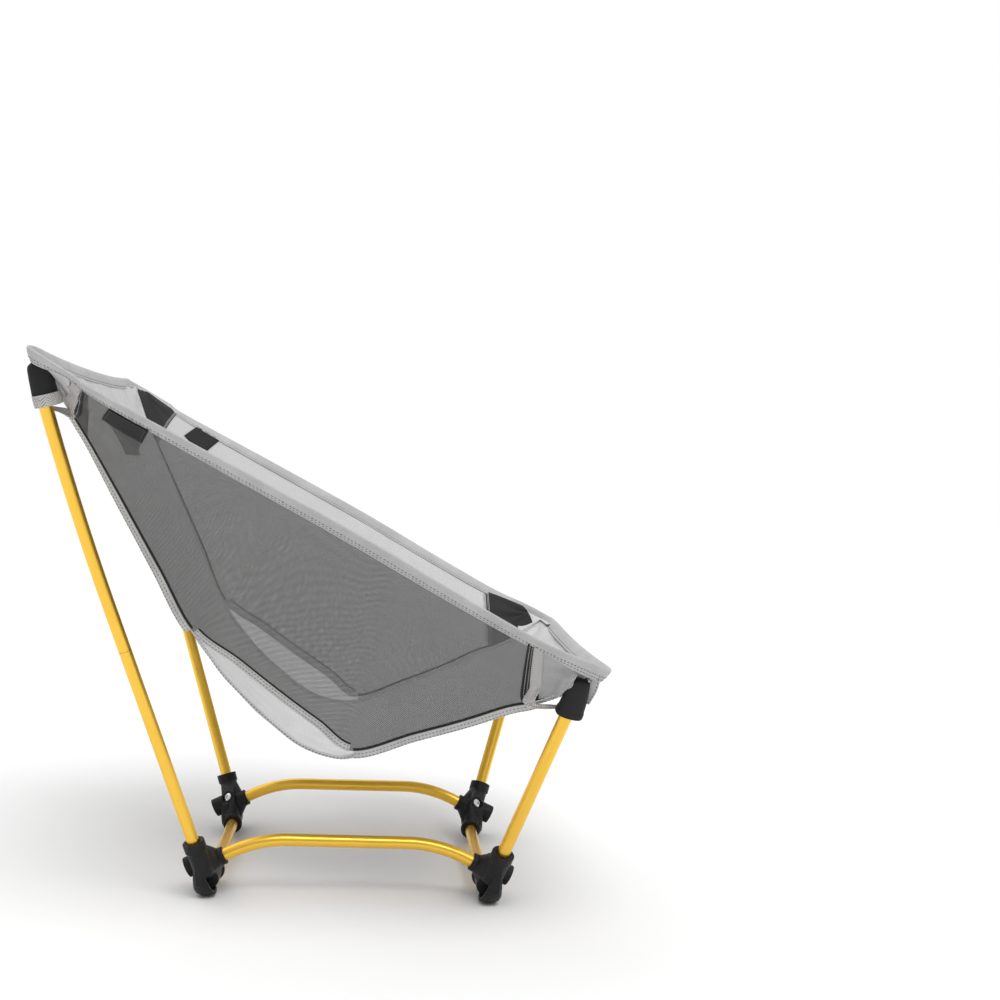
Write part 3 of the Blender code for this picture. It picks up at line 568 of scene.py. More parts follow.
def sewn(name, points, side, thickness, looks, nodes=()):
    """Sewn sheet through a grid of right-side points, given a thickness."""
    rows, columns = points.shape[:2]
    middle = columns // 2
    length = run_lengths(points[:, middle])
    across = np.linalg.norm(np.diff(points, axis=1), axis=-1)
    across = np.concatenate([np.zeros((rows, 1)), np.cumsum(across, axis=1)], axis=1)
    across = across - across[:, middle:middle + 1]
    uvs = np.stack([across, np.broadcast_to(length[:, None], across.shape)], axis=-1)
    thing = add_piece(name, world(points, side), grid_faces(rows, columns, flip=side < 0), looks,
                      uvs.reshape(-1, 2), 80.0)
    two_sided = len(looks) > 1
    skin = thing.modifiers.new("cloth", "SOLIDIFY")
    skin.thickness = thickness
    skin.offset = -1.0 if two_sided else 0.0
    skin.material_offset = skin.material_offset_rim = int(two_sided)
    place(thing, "seat", nodes)


def cloth(name, surface, us, vs, side, thickness, looks, node, slot):
    """Sewn sheet on a seat surface, between rows us and columns vs."""
    sewn(name, surface(*np.meshgrid(us, vs, indexing="ij")), side, thickness, looks, [node])


def between(first, second, count):
    """Rows of points from one line to another."""
    share = np.linspace(0.0, 1.0, count)[:, None, None]
    return first[None] * (1.0 - share) + second[None] * share


def nearest(table, point):
    """Index of a line's point that is nearest to a point."""
    return int(np.argmin(np.linalg.norm(table - point, axis=-1)))


def share_near(table, point):
    """Share of a line's length at which it passes a point."""
    return nearest(table, point) / (len(table) - 1)


VENT_REAR = share_near(MESH_FOOT, (0.1342, 0.1368, 0.2375))
VENT_FRONT = share_near(MESH_FOOT, (0.146, -0.003, 0.1375))


# ---- camera, lights and floor
CAMERA_PLACE = (-1.3603, -0.0191 + BASE_Y, 0.38)
CAMERA_YAW, CAMERA_PITCH, CAMERA_ROLL = (math.radians(angle) for angle in (2.26, 6.14, 0.84))
CAMERA_LENS, CAMERA_SHIFT = 52.056, (0.183, 0.12)
SKY_POWER = 0.78
SKY_STOPS = ((0.0, 0.55), (0.3, 0.62), (0.75, 1.0))
SUNS = (("key", (-1.0, -0.55, 2.2), 48.0, 1.75), ("back", (0.9, 0.8, 1.6), 60.0, 0.45))
FLOOR_REACH, FLOOR_DROP, FLOOR_STEPS = 9.0, 0.0006, 25


def add_camera():
    flat = math.cos(CAMERA_PITCH)
    ahead = Vector((flat * math.cos(CAMERA_YAW), flat * math.sin(CAMERA_YAW),
                    -math.sin(CAMERA_PITCH)))
    level = ahead.cross(Vector(UP)).normalized()
    plumb = level.cross(ahead)
    right = math.cos(CAMERA_ROLL) * level + math.sin(CAMERA_ROLL) * plumb
    up = -math.sin(CAMERA_ROLL) * level + math.cos(CAMERA_ROLL) * plumb
    data = bpy.data.cameras.new("camera")
    data.lens = CAMERA_LENS
    data.sensor_width = 36.0
    data.shift_x, data.shift_y = CAMERA_SHIFT
    data.clip_start = 0.05
    camera = linked("camera", data)
    turn = Matrix((right, up, -ahead)).transposed().to_4x4()
    camera.matrix_world = Matrix.Translation(CAMERA_PLACE) @ turn
    bpy.context.scene.camera = camera


def add_sky():
    """Surround that the camera sees white, and that lights the chair less near the horizon."""
    bpy.context.scene.view_settings.view_transform = "Standard"
    sky = bpy.data.worlds.new("studio")
    bpy.context.scene.world = sky
    sky.use_nodes = True
    tree = sky.node_tree
    tree.nodes.clear()
    output, mix, seen, lit, path, spot, split, climb = (
        tree.nodes.new("ShaderNode" + kind) for kind in (
            "OutputWorld", "MixShader", "Background", "Background", "LightPath", "TexCoord",
            "SeparateXYZ", "ValToRGB"))
    seen.inputs["Color"].default_value = (1.0, 1.0, 1.0, 1.0)
    lit.inputs["Strength"].default_value = SKY_POWER
    stops = climb.color_ramp.elements
    stops.new(SKY_STOPS[1][0])
    for stop, (position, value) in zip(stops, SKY_STOPS):
        stop.position, stop.color = position, (*grey(value), 1.0)
    for start, out, end, into in (
            (spot, "Generated", split, 0), (split, "Z", climb, "Fac"), (climb, "Color", lit, "Color"),
            (path, "Is Camera Ray", mix, 0), (lit, 0, mix, 1), (seen, 0, mix, 2),
            (mix, 0, output, "Surface")):
        tree.links.new(start.outputs[out], end.inputs[into])


def add_sun(name, spot, spread, power):
    """Very large far softbox."""
    data = bpy.data.lights.new(name, "SUN")
    data.angle = math.radians(spread)
    data.energy = power
    linked(name, data).rotation_euler = (-Vector(spot)).to_track_quat("-Z", "Y").to_euler()


def add_floor():
    """Pale floor, with its lines closer together near the chair."""
    lines = [FLOOR_REACH * a * abs(a) for a in np.linspace(-1.0, 1.0, FLOOR_STEPS)]
    data = bpy.data.meshes.new("floor")
    data.from_pydata([(x, y, -FLOOR_DROP) for x in lines for y in lines], [],
                     grid_faces(FLOOR_STEPS, FLOOR_STEPS, flip=True))
    look = Finish("pale_floor", grey(0.86), 0.9)
    look.colour(look.mixed(look.noise(3.0), grey(0.85), grey(0.87)))
    data.materials.append(look.material)
    linked("floor", data)


add_camera()
add_sky()
for sun in SUNS:
    add_sun(*sun)
add_floor()


# ---- hubs, screws and inner parts
HUB_VOXEL, HUB_ROUNDS = 0.00055, 4


def dress(node, look):
    thing = frame["nodes"][node]
    thing.data.materials.clear()
    thing.data.materials.append(LOOKS[look])
    return thing


def round_over(thing):
    """Moulded edges: an even skin of small faces, smoothed a little."""
    skin = thing.modifiers.new("skin", "REMESH")
    skin.mode = "VOXEL"
    skin.voxel_size = HUB_VOXEL
    skin.use_smooth_shade = True
    soft = thing.modifiers.new("soft", "SMOOTH")
    soft.factor = 0.5
    soft.iterations = HUB_ROUNDS


for end_name in ENDS:
    for side_name in SIDES:
        tag = f"{end_name}_{side_name}"
        round_over(dress(f"hub_{tag}", "plastic"))
        dress(f"hub_screw_{tag}", "screw")
        dress(f"pole_tip_{tag}", "plastic")
        dress(f"pole_cord_{tag}", "cord")
    dress(f"crossbar_cord_{end_name}", "cord")
for side_name in SIDES:
    dress(f"rear_ferrule_{side_name}", "ferrule")


# ---- tubes
TUBE_RADIUS = 0.0056
TUBE_WALL = 0.0008
GAP = 0.0003  # between a tube's end and what it stands on
FRONT_MOUTH = (0.1381, -0.1345, 0.0495)
FRONT_LEAN = (0.405, -0.27, 0.862)
FRONT_LENGTH = 0.2078
REAR_MOUTH = (0.1391, 0.1338, 0.0532)
REAR_LEAN = (0.209, 0.289, 0.934)
REAR_LOWER_LENGTH = 0.2095
REAR_UPPER_LENGTH = 0.237
REAR_UPPER_BEND = math.radians(4.6)
FERRULE_LENGTH = 0.056
SOCKET_DEPTH = 0.027
RAIL_X, RAIL_Z = 0.113, 0.05
RAIL_SLOPE, RAIL_BEND = math.radians(26.0), 0.115
RAIL_MOUTH, RAIL_REACH = (0.109, 0.0351), 0.0205 - GAP
CROSSBAR_HALF, CROSSBAR_Y, CROSSBAR_Z = 0.0967, 0.1212, 0.0135


def upright_foot(mouth, lean):
    return np.array(mouth) - unit(np.array(lean)) * (SOCKET_DEPTH - GAP)


def front_pole_line():
    foot = upright_foot(FRONT_MOUTH, FRONT_LEAN)
    return foot + np.linspace(0.0, 1.0, 40)[:, None] * (unit(np.array(FRONT_LEAN)) * FRONT_LENGTH)


def rear_pole_lines():
    """Lower and upper section of the right rear upright; the upper one bows forward a little."""
    lean = Vector(REAR_LEAN).normalized()
    foot = upright_foot(REAR_MOUTH, REAR_LEAN)
    lower = foot + np.linspace(0.0, REAR_LOWER_LENGTH, 41)[:, None] * np.array(lean)
    start = Vector(lower[-1]) + lean * GAP
    straight = FERRULE_LENGTH / 2.0 + 0.01
    axis = lean.cross(Vector(FORWARD)).normalized()
    steps = 48
    piece = (REAR_UPPER_LENGTH - straight) / steps
    upper = [start + lean * (straight * k / 8.0) for k in range(9)]
    for step in range(steps):
        turn = Matrix.Rotation(REAR_UPPER_BEND * (step + 0.5) / steps, 3, axis)
        upper.append(upper[-1] + turn @ lean * piece)
    return lower, np.array(upper)


def rail_line():
    """Right side rail from its front end to its rear end: level, then bent down at each end."""
    knee = RAIL_MOUTH[0] - (RAIL_Z - RAIL_MOUTH[1]) / math.tan(RAIL_SLOPE)
    arc_start = knee - RAIL_BEND * math.tan(RAIL_SLOPE / 2.0)
    half = [(arc_start * k / 20.0, RAIL_Z) for k in range(20)]
    for angle in np.linspace(0.0, RAIL_SLOPE, 25):
        half.append((arc_start + RAIL_BEND * math.sin(angle),
                     RAIL_Z - RAIL_BEND * (1.0 - math.cos(angle))))
    half.append((RAIL_MOUTH[0] + RAIL_REACH * math.cos(RAIL_SLOPE),
                 RAIL_MOUTH[1] - RAIL_REACH * math.sin(RAIL_SLOPE)))
    half = [(-y, z) for y, z in reversed(half[1:])] + half
    return np.array([(RAIL_X, y, z) for y, z in half])


FRONT_POLE = front_pole_line()
REAR_LOWER, REAR_UPPER = rear_pole_lines()
RAIL = rail_line()
for side_name, side in SIDES.items():
    for node, line, body in (("front_pole", FRONT_POLE, "front_upright"),
                             ("rear_pole_lower", REAR_LOWER, "rear_lower"),
                             ("rear_pole_upper", REAR_UPPER, "rear_upper"),
                             ("side_rail", RAIL, "base")):
        node = f"{node}_{side_name}"
        tube(node + "_tube", world(line, side), f"{body}_{side_name}", node)
for end_name, end in ENDS.items():
    start = np.array((-CROSSBAR_HALF, end * CROSSBAR_Y, CROSSBAR_Z))
    line = np.linspace(start, start * (-1.0, 1.0, 1.0), 40)
    tube(f"crossbar_{end_name}_tube", world(line), "base_left", f"crossbar_{end_name}")


# ---- main panel and side meshes
CLOTH_THICKNESS, LINING_THICKNESS, MESH_THICKNESS = 0.0006, 0.0005, 0.00012
WEBBING_THICKNESS, HEM_END_THICKNESS, LABEL_THICKNESS = 0.0011, 0.0014, 0.0007
MESH_REAR, MESH_FRONT = 0.069, 0.912
cloth("main_panel", panel, np.linspace(0.0, 1.0, 200), np.linspace(-1.0, 1.0, 141), 1,
      CLOTH_THICKNESS, ["panel"], "seat_panel", "grey_ripstop")
for side_name, side in SIDES.items():
    # Each side mesh takes the painted-lit copy on its inner face and the painted-shade copy on its
    # outer face.
    cloth(f"mesh_{side_name}", mesh_side, np.linspace(MESH_REAR, MESH_FRONT, 190),
          np.linspace(0.0, 1.0, 52), side, MESH_THICKNESS, ["mesh_in_painted_lit", "mesh_out_painted_shade"],
          f"side_mesh_{side_name}", "dark_mesh")


# ---- folded hem round the seat
def hem_frames(count):
    """Closed middle line of the hem, the way its band hangs, and its outward normal."""
    half = smooth(HEM_HALF, count)
    lengths = run_lengths(half)
    marks = [lengths[nearest(half, HEM_HALF[k])] for k in (3, 6, 13, 15)]
    hang_side, hang_panel = [], []
    for spot in half:
        u = np.array([share_near(MESH_TOP, spot)])
        hang_side.append(bare_mesh(u, np.array([0.86]))[0] - spot)
        u = np.array([0.04 if spot[1] > 0.0 else 0.96])
        v = np.array([min(abs(spot[0]) / 0.225, 1.0)])
        hang_panel.append(bare_panel(u, v)[0] - spot)
    share = (ramp(lengths, *marks[:2]) * (1.0 - ramp(lengths, *marks[2:])))[:, None]
    hang = unit(unit(np.array(hang_side)) * share + unit(np.array(hang_panel)) * (1.0 - share))
    corner = ramp(-half[:, 1], 0.15, 0.185) + ramp(half[:, 1], 0.222, 0.242)
    drop = 0.65 * (ramp(half[:, 0], 0.165, 0.215) * corner)[:, None]
    hang = unit(hang * (1.0 - drop) - UP * drop)
    line, hang = (np.vstack([right, (right[::-1] * (-1.0, 1.0, 1.0))[1:-1]])
                  for right in (half, hang))
    kernel = np.exp(-0.5 * (np.arange(-12, 13) / 5.0) ** 2)
    kernel /= kernel.sum()
    wrapped = np.vstack([hang[-12:], hang, hang[:12]])
    hang = np.stack([np.convolve(wrapped[:, k], kernel, "valid") for k in range(3)], axis=1)
    runs = tangents(line, closed=True)
    hang = across_run(hang, runs)
    return line, hang, np.cross(runs, hang)


def across_run(ways, runs):
    """Directions made square to the runs they belong to."""
    return unit(ways - runs * (ways * runs).sum(axis=1, keepdims=True))


HEM_LINE, HEM_HANG, HEM_OUT = hem_frames(460)
HEM_TOP = 0.0042  # how far the hem's upper edge stands above its middle line
HEM_PROFILE = np.array(millimetres(
    (0, 0), (0.7, 1.1), (2, 1.6), (4.2, 1.8), (6.6, 1.6), (8.8, 1.3), (10.1, 1.1), (10.8, 0.7),
    (11.6, 1), (12.5, 1), (13.2, 0.4)))
# Threads: look, pitch, length and radius.
# The hem's stitches are dark thread, and their dark dashes also stand in as painted shade for the
# needle holes and gaps along the hem.
HEM_THREAD = ("dark", 0.0032, 0.0019, 0.00036)
SEAM_THREAD = ("dark", 0.0032, 0.0019, 0.00034)
STRIP_THREAD = ("white", 0.0026, 0.0014, 0.00024)
PATCH_THREAD = ("light", 0.003, 0.0018, 0.00034)
LINING_THREAD = ("white", 0.0028, 0.0017, 0.00027)
LABEL_THREAD = ("dark", 0.0024, 0.0014, 0.00022)


def hem_sections():
    """Outline of the folded hem at each place, puckered a little along its stitching."""
    downs, bulks = HEM_PROFILE.T
    lengths = run_lengths(HEM_LINE)
    pucker = (np.sin(math.tau * lengths / 0.0087 + 2.0 * np.sin(lengths * 31.0))
              + 0.7 * np.sin(math.tau * lengths / 0.0053 + 1.3))
    swell = bulks * (1.0 + 0.1 * pucker[:, None] * ramp(downs, 0.002, 0.009))
    downs = np.broadcast_to(downs - HEM_TOP, swell.shape)
    outer = np.stack([downs, swell], axis=-1)
    inner = np.stack([downs, -swell], axis=-1)[:, :0:-1]
    return np.concatenate([outer, inner], axis=1)


hem = swept("seat_hem", world(HEM_LINE), HEM_HANG, HEM_OUT, hem_sections(), "hem", closed=True)
rounding = hem.modifiers.new("rounding", "SUBSURF")
rounding.levels = rounding.render_levels = 1
place(hem, "seat", ["rim_left", "rim_right", "rim_back", "rim_front"])
ring_line, ring_hang, ring_out = (np.vstack([t, t[:1]]) for t in (HEM_LINE, HEM_HANG, HEM_OUT))
for name, face, rows in (("hem_stitches_outside", 1, ((0.0108, 0.0008), (0.008, 0.00145))),
                         ("hem_stitches_inside", -1, ((0.0108, 0.0008),))):
    stitches(name, [world(ring_line + ring_hang * (down - HEM_TOP) + ring_out * (face * rise))
                    for down, rise in rows], [ring_out * face] * len(rows), *HEM_THREAD)


# ---- bindings along the seams and vents
def edge_band(name, side, surface, us, v, inner, low, width, thickness, lift, look, seams):
    """Flat band along an edge v of a surface, from low inwards, with rows of stitches on it."""
    vs = np.full_like(us, v)
    line = surface(us, vs)
    ahead = across_run(surface(us, np.full_like(us, inner)) - line, tangents(line)) * (side, 1, 1)
    normal = normals_of(surface, us, vs) * (side, 1, 1)
    line = world(line, side)
    outline = [(a, b + lift) for a, b in flat_outline(width, thickness, low)]
    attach(swept(name, line, ahead, normal, outline, look), "seat")
    rows = [(seam, face) for seam in seams for face in (1, -1)]
    if rows:
        proud = thickness / 2.0 + 0.00005
        stitches(name + "_stitches",
                 [line + ahead * seam + normal * (lift + face * proud) for seam, face in rows],
                 [normal * face for seam, face in rows], *SEAM_THREAD)


seam_us = np.linspace(0.03, 0.985, 260)
vent_us = np.linspace(VENT_REAR + 0.004, VENT_FRONT - 0.004, 110)
# Each band as edge_band takes it: from its surface to its rows of stitches.
BANDS = [
    ("panel_binding", panel, seam_us, 1.0, 0.97, -0.001, 0.0085, 0.0018, 0.0, "binding",
     (0.0018, 0.0052)),
    ("vent_binding", mesh_side, vent_us, 0.0, 0.06, -0.001, 0.0075, 0.0014, 0.0, "binding",
     (0.0015, 0.0048)),
    ("vent_line", mesh_side, vent_us, 0.0, 0.06, 0.0064, 0.0016, 0.0013, 0.0, "black", ())]
for part, low, high in (("rear", 0.074, VENT_REAR - 0.002), ("front", VENT_FRONT + 0.002, 0.912)):
    part_us = np.linspace(low, high, 120)
    BANDS += [(f"seam_flange_{part}", mesh_side, part_us, 0.0, 0.06, -0.0072, 0.008, 0.0016, -0.0002,
               "binding", (-0.0056, -0.0022)),
              (f"seam_line_{part}", mesh_side, part_us, 0.0, 0.06, 0.0008, 0.0024, 0.0011, -0.0004,
               "black", ())]
for side_name, side in SIDES.items():
    for name, *band in BANDS:
        edge_band(f"{name}_{side_name}", side, *band)


# ---- pockets over the uprights' tips
def pole_frame(line):
    """Place, run and two axes at the end of an upright: forward along the side, and outward."""
    end, run = line[-1], unit(line[-1] - line[-2])
    ahead = unit(FORWARD - run * FORWARD.dot(run))
    outward = np.cross(run, ahead)
    return end, run, ahead, outward * np.sign(outward[0])


def oval(half_a, half_b, shift, power=2.6, count=40):
    angles = np.linspace(0.0, math.tau, count, endpoint=False)
    c, s = np.cos(angles), np.sin(angles)
    return np.stack([shift + half_a * np.sign(c) * np.abs(c) ** (2.0 / power),
                     half_b * np.sign(s) * np.abs(s) ** (2.0 / power)], axis=1)


def pouch(name, line, side, wall, look, node, stations):
    """Sewn sleeve round an upright's tip. stations are (place along it, half width, half depth,
    shift forward), in millimetres."""
    stations = millimetres(*stations)
    end, run, ahead, outward = pole_frame(line)
    fine = smooth([station[:3] for station in stations], 26)
    shifts = np.interp(fine[:, 0], [s[0] for s in stations], [s[3] for s in stations])
    rings = []
    for inset in (0.0, wall):
        layer = []
        for (t, a, b), shift in zip(fine, shifts):
            ring = oval(max(a - inset, 0.0004), max(b - inset, 0.0004), shift)
            layer.append(end + run * t + ring[:, :1] * ahead + ring[:, 1:] * outward)
        rings += layer if inset == 0.0 else layer[::-1]
    rings = np.array(rings)
    rows, columns = rings.shape[:2]
    around = np.linspace(0.0, math.tau * stations[0][1], columns)
    faces = grid_faces(rows, columns, True, True)
    thing = add_piece(name, world(rings, side), faces, [look],
                      uv_grid(run_lengths(rings[:, 0]), around), 50.0, closed=True)
    place(thing, "seat", [node])


for side_name, side in SIDES.items():
    pouch(f"rear_pocket_{side_name}", REAR_UPPER, side, 0.0007, "black",
          f"pole_sleeve_rear_{side_name}",
          [(-17.5, 10.4, 7.6, 2.2), (-12, 10.2, 7.3, 2.4), (0, 9.4, 6.9, 2.6), (6, 8, 6.2, 2.4),
           (8.5, 4.5, 3, 2)])
    pouch(f"rear_pocket_tape_{side_name}", REAR_UPPER, side, 0.0011, "tape",
          f"sleeve_tape_rear_{side_name}",
          [(-26.2, 11.4, 8.4, 3), (-21.5, 11.7, 8.6, 3.2), (-16.5, 11.3, 8.6, 3)])
    pouch(f"front_pocket_{side_name}", FRONT_POLE, side, 0.0007, "black",
          f"pole_sleeve_front_{side_name}",
          [(-27.5, 11.4, 8.2, 1.2), (-23.5, 11.5, 8.2, 1.2), (-21.5, 10.8, 7.6, 1.2),
           (-11, 10, 7, 0.8), (0, 8.4, 6.2, 0), (5, 6.4, 4.6, 0), (6.8, 3, 2, 0)])


# ---- straps, patches and linings at the corners
POCKET_REACH = 0.03  # how far down an upright cloth is kept clear of its pocket
CLOTH_CLEAR, GUSSET_CLEAR = 0.0088, 0.0086  # how far from an upright's middle line
CLEAR_STEPS = np.arange(0.0, 0.024, 0.0004)


def mesh_places(pairs, count):
    """Smooth line through (u, w) points of the side mesh, in its own metres."""
    return smooth([(u * MESH_LENGTH, w * MESH_HEIGHT, 0.0) for u, w in pairs], count)


def on_mesh(places, lift):
    """Points on the side mesh, lifted towards the sitter, with their normals and w."""
    u, w = places[..., 0] / MESH_LENGTH, places[..., 1] / MESH_HEIGHT
    normal = normals_of(bare_mesh, u, w)
    return mesh_side(u, w) + normal * lift, normal, w


def corner_grid(edges, rows, columns, lift):
    """Grid on the side mesh between two (u, w) edges, with its normals and w."""
    return on_mesh(between(*(mesh_places(pairs, columns) for pairs in edges), rows), lift)


def blurred(values, rounds):
    for _ in range(rounds):
        wide = np.pad(values, 1, mode="edge")
        values = (2.0 * wide[1:-1, 1:-1] + wide[:-2, 1:-1] + wide[2:, 1:-1] + wide[1:-1, :-2]
                  + wide[1:-1, 2:]) / 6.0
    return values


def cleared(points, ways, line, radius, fade):
    """Points moved their own way until they clear the pocket round an upright's tip."""
    run = unit(line[-1] - line[-2])
    foot = line[-1] - run * POCKET_REACH
    moved = np.zeros(points.shape[:2])
    found = np.zeros(points.shape[:2], bool)
    for step in CLEAR_STEPS:
        spots = points + ways * step - foot
        share = np.clip((spots * run).sum(axis=-1), 0.0, POCKET_REACH)[..., None]
        apart = np.linalg.norm(spots - share * run, axis=-1)
        ahead = ((share * run - spots) * ways).sum(axis=-1)
        # Clear is outside the radius and past the middle line, or well away from it.
        clear = (apart >= radius) & (ahead < 0.0012) | (apart > radius * 1.9)
        moved = np.where(~found & clear, step, moved)
        found |= clear
    soft = np.maximum(blurred(moved, 14), moved * 0.96)
    return points + ways * (blurred(soft, 3) * fade)[..., None]


# Each piece on a right corner is a pair of edges: (u, w) points on the side mesh, and world
# points for a strap's tail and for the two ends of the rim along a gusset.
CORNERS = {
    "front": {
        "pole": FRONT_POLE,
        "strap": ([(0.904, 0.99), (0.904, 0.7), (0.904, 0.4), (0.904, 0.14)],
                  [(0.922, 0.96), (0.922, 0.7), (0.922, 0.4), (0.922, 0.14)]),
        "tail": (millimetres((194.9, -140.9, 192.6), (194.5, -144, 188.5), (194, -149.2, 185.9),
                             (189, -166, 184.6), (188, -172.5, 185)),
                 millimetres((197.5, -150.9, 193.1), (196.5, -154.2, 189.5), (191.5, -163, 188.5),
                             (188, -168, 188), (187.5, -173.5, 188.5))),
        "strip": ([(0.893, 1.0), (0.893, 0.7), (0.893, 0.4), (0.893, 0.16), (0.896, 0.06)],
                  [(0.906, 0.99), (0.906, 0.7), (0.906, 0.4), (0.906, 0.16), (0.908, 0.06)]),
        "patch": ([(0.918, 0.98), (0.918, 0.75), (0.918, 0.5), (0.918, 0.25), (0.918, 0.06)],
                  [(0.997, 0.98), (0.991, 0.84), (0.984, 0.7), (0.966, 0.4), (0.954, 0.26),
                   (0.944, 0.16), (0.935, 0.09), (0.927, 0.05)]),
        "lining": ([(0.899, 0.98), (0.899, 0.5), (0.899, 0.01)],
                   [(0.996, 0.98), (0.992, 0.5), (0.985, 0.01)]),
        "seam": (0.955, 1.0),
        "rim": millimetres((232, -180, 230), (172, -209.5, 215.8)),
    },
    "rear": {
        "pole": REAR_UPPER,
        "strap": ([(0.052, 0.98), (0.056, 0.76), (0.06, 0.4), (0.062, 0.09), (0.066, 0.0)],
                  [(0.074, 0.95), (0.078, 0.68), (0.082, 0.35), (0.082, 0.13), (0.081, 0.04)]),
        "tail": (millimetres((200, 227.6, 421.5), (202, 230.7, 422), (207, 235.8, 422.6),
                             (211, 239.8, 423.2)),
                 millimetres((202.4, 221.1, 416.1), (200.5, 223.7, 413.9), (200.5, 228.2, 414.6),
                             (203, 231.3, 416.7), (207, 235.4, 418.7), (211, 239.4, 419.5))),
        "strip": ([(0.066, 0.97), (0.07, 0.7), (0.074, 0.4), (0.078, 0.12)],
                  [(0.078, 0.95), (0.086, 0.68), (0.09, 0.41), (0.094, 0.26), (0.09, 0.1)]),
        "patch": ([(0.002, 0.98), (0.004, 0.6), (0.012, 0.2), (0.03, -0.16)],
                  [(0.06, 0.98), (0.064, 0.65), (0.068, 0.35), (0.072, 0.0)]),
        "lining": ([(0.004, 0.98), (0.004, 0.5), (0.004, 0.01)],
                   [(0.084, 0.98), (0.1, 0.5), (0.116, 0.01)]),
        "seam": (0.07, 0.0),
        "rim": millimetres((252, 218, 445.5), (188, 249, 465)),
    },
}
# The two edges of the short hem beside a front pocket.
HEM_END = (millimetres((215, -193.3, 220), (211, -190.8, 208), (203, -186.8, 194)),
           millimetres((216, -200.4, 218), (212.5, -198.4, 205), (204.5, -193.4, 191.5)))
SITTER = np.array((0.0, -0.05, 0.36))  # the gussets bow towards this point


def corner_edges(corner, count):
    """Edge of the main panel round one of its corners, and the hem's inside opposite it."""
    u = np.concatenate([np.linspace(*corner["seam"], 20), np.full(14, corner["seam"][1])])
    v = np.concatenate([np.ones(20), np.linspace(0.99, 0.86, 14)])
    first, last = (nearest(HEM_LINE, spot) for spot in corner["rim"])
    way = 1 if last > first else -1
    picked = np.arange(first, last + way, way)
    rim = HEM_LINE[picked] + HEM_HANG[picked] * 0.003
    return resampled(bare_panel(u, v), count), resampled(rim, count)


def strap_line(pairs, tail):
    """Edge of a corner strap: down the mesh and on round the seam to its tail."""
    return smooth(list(on_mesh(mesh_places(pairs, 24), -0.0012)[0][::4]) + tail, 60)


def thread_rows(name, grid, normals, rows, lift, side, thread):
    """Stitches along some rows of a grid, lifted along its normals."""
    stitches(name, [world(grid[row] + normals[row] * lift, side) for row in rows],
             [normals[row] * (side, 1, 1) for row in rows], *thread)


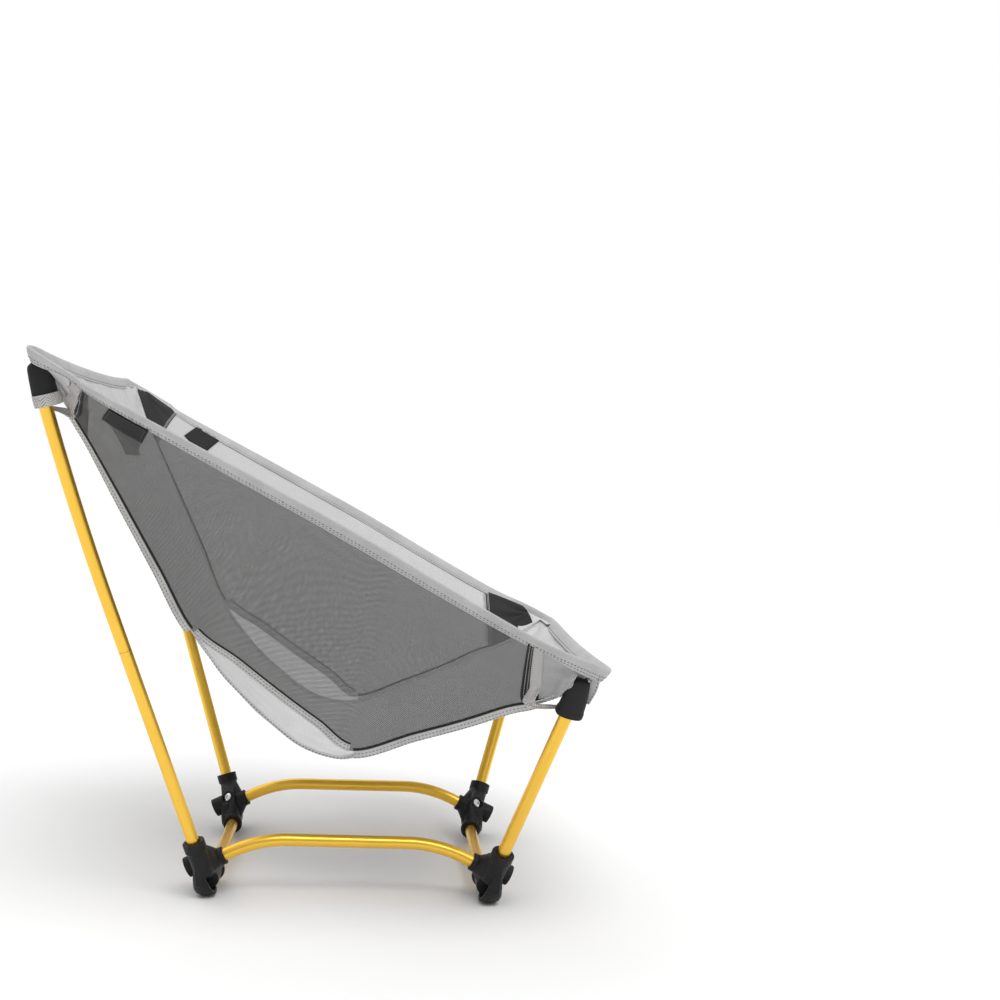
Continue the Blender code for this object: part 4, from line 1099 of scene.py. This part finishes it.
def add_corner(end_name, corner, side_name, side):
    """Strap, edge strip, patch, lining and gusset of one corner."""
    tag = f"{end_name}_{side_name}"
    front = end_name == "front"
    edges = [strap_line(pairs, tail) for pairs, tail in zip(corner["strap"], corner["tail"])]
    sewn(f"corner_strap_{tag}_webbing", between(*edges, 8), side, WEBBING_THICKNESS, ["tape"],
         [f"corner_strap_{tag}"])

    grid, normal, _ = corner_grid(corner["strip"], 7, 40, -0.0006)
    sewn(f"corner_strip_{tag}", grid, side, CLOTH_THICKNESS, ["black"])
    thread_rows(f"corner_strip_stitches_{tag}", grid, -normal, (2, 4), 0.00035, side,
                STRIP_THREAD)

    grid, normal, rise = corner_grid(corner["patch"], 30, 44, -0.0009)
    if front:
        fade = 1.0 - ramp(rise, 0.84, 0.97)
        grid = cleared(grid, -normal, corner["pole"], CLOTH_CLEAR, fade)
    sewn(f"corner_patch_{tag}_cloth", grid, side, CLOTH_THICKNESS, ["patch"],
         [f"corner_patch_{tag}"])
    free, ups = (grid[::-1], -normal[::-1]) if front else (grid, -normal)
    lines = [world(free[row] * share + free[row - 1] * (1.0 - share) + ups[row] * 0.0004, side)
             for row, share in ((1, 0.35), (3, 0.6))]
    stitches(f"corner_patch_stitches_{tag}", lines, [ups[row] * (side, 1, 1) for row in (1, 3)],
             *PATCH_THREAD)

    grid, normal, rise = corner_grid(corner["lining"], 34, 34, 0.0008)
    if front:
        fade = (1.0 - ramp(rise, 0.84, 0.97)) * ramp(rise, 0.0, 0.1)
        grid = cleared(grid, normal, corner["pole"], CLOTH_CLEAR, fade)
    sewn(f"corner_lining_{tag}_cloth", grid, side, LINING_THICKNESS, ["lining"],
         [f"corner_lining_{tag}"])
    free, ups = (grid, normal) if front else (grid[::-1], normal[::-1])
    thread_rows(f"corner_lining_stitches_{tag}", free, ups, (1, 2), 0.0004, side, LINING_THREAD)

    gusset = between(*corner_edges(corner, 44), 24)
    inward = unit(SITTER - gusset)
    rise = np.broadcast_to(np.linspace(0.0, 1.0, 24)[:, None], gusset.shape[:2])
    fade = ramp(rise, 0.0, 0.12) * (1.0 - ramp(rise, 0.88, 1.0))
    gusset = gusset + inward * ((0.0032 if front else 0.0012) * fade)[..., None]
    if front:
        gusset = cleared(gusset, inward, corner["pole"], GUSSET_CLEAR, fade)
    sewn(f"corner_gusset_{tag}", gusset, side, CLOTH_THICKNESS, ["panel"])


for side_name, side in SIDES.items():
    for end_name, corner in CORNERS.items():
        add_corner(end_name, corner, side_name, side)
    edges = [smooth(points, 24) for points in HEM_END]
    grid = between(*edges, 7)
    sewn(f"front_hem_end_{side_name}", grid, side, HEM_END_THICKNESS, ["hem"])
    outward = np.cross(tangents(edges[0]), unit(edges[1] - edges[0]))
    outward = np.broadcast_to(outward * np.sign(outward[:, :1]), grid.shape)
    thread_rows(f"front_hem_end_stitches_{side_name}", grid, outward, (1, 5), 0.0008, side,
                SEAM_THREAD)
    grid, _, _ = corner_grid(([(0.14, 0.98), (0.14, 0.6)], [(0.2, 0.98), (0.198, 0.6)]),
                             16, 16, 0.001)
    sewn(f"lash_tab_{side_name}", grid, side, WEBBING_THICKNESS, ["label"],
         [f"lash_loop_{side_name}"])


# ---- labels, left blank
grid, normal, _ = corner_grid(([(0.128, 0.93), (0.126, 0.62)], [(0.199, 0.97), (0.2, 0.76)]),
                              18, 14, -0.001)
sewn("side_label_cloth", grid, -1, LABEL_THICKNESS, ["label"], ["side_label"])
border, border_up = (np.vstack([t[1, 1:-1], t[1:-1, -2], t[-2, 1:-1][::-1],
                                t[1:-1, 1][::-1]])[None] for t in (grid, -normal))
thread_rows("side_label_stitches", border, border_up, (0,), 0.0004, -1, LABEL_THREAD)
label_u, label_v = np.meshgrid(np.linspace(0.064, 0.119, 14), np.linspace(-0.2, 0.25, 24),
                               indexing="ij")
label_points = panel(label_u, label_v) + normals_of(bare_panel, label_u, label_v) * 0.0009
sewn("front_label_cloth", label_points, 1, LABEL_THICKNESS, ["label"], ["front_label"])
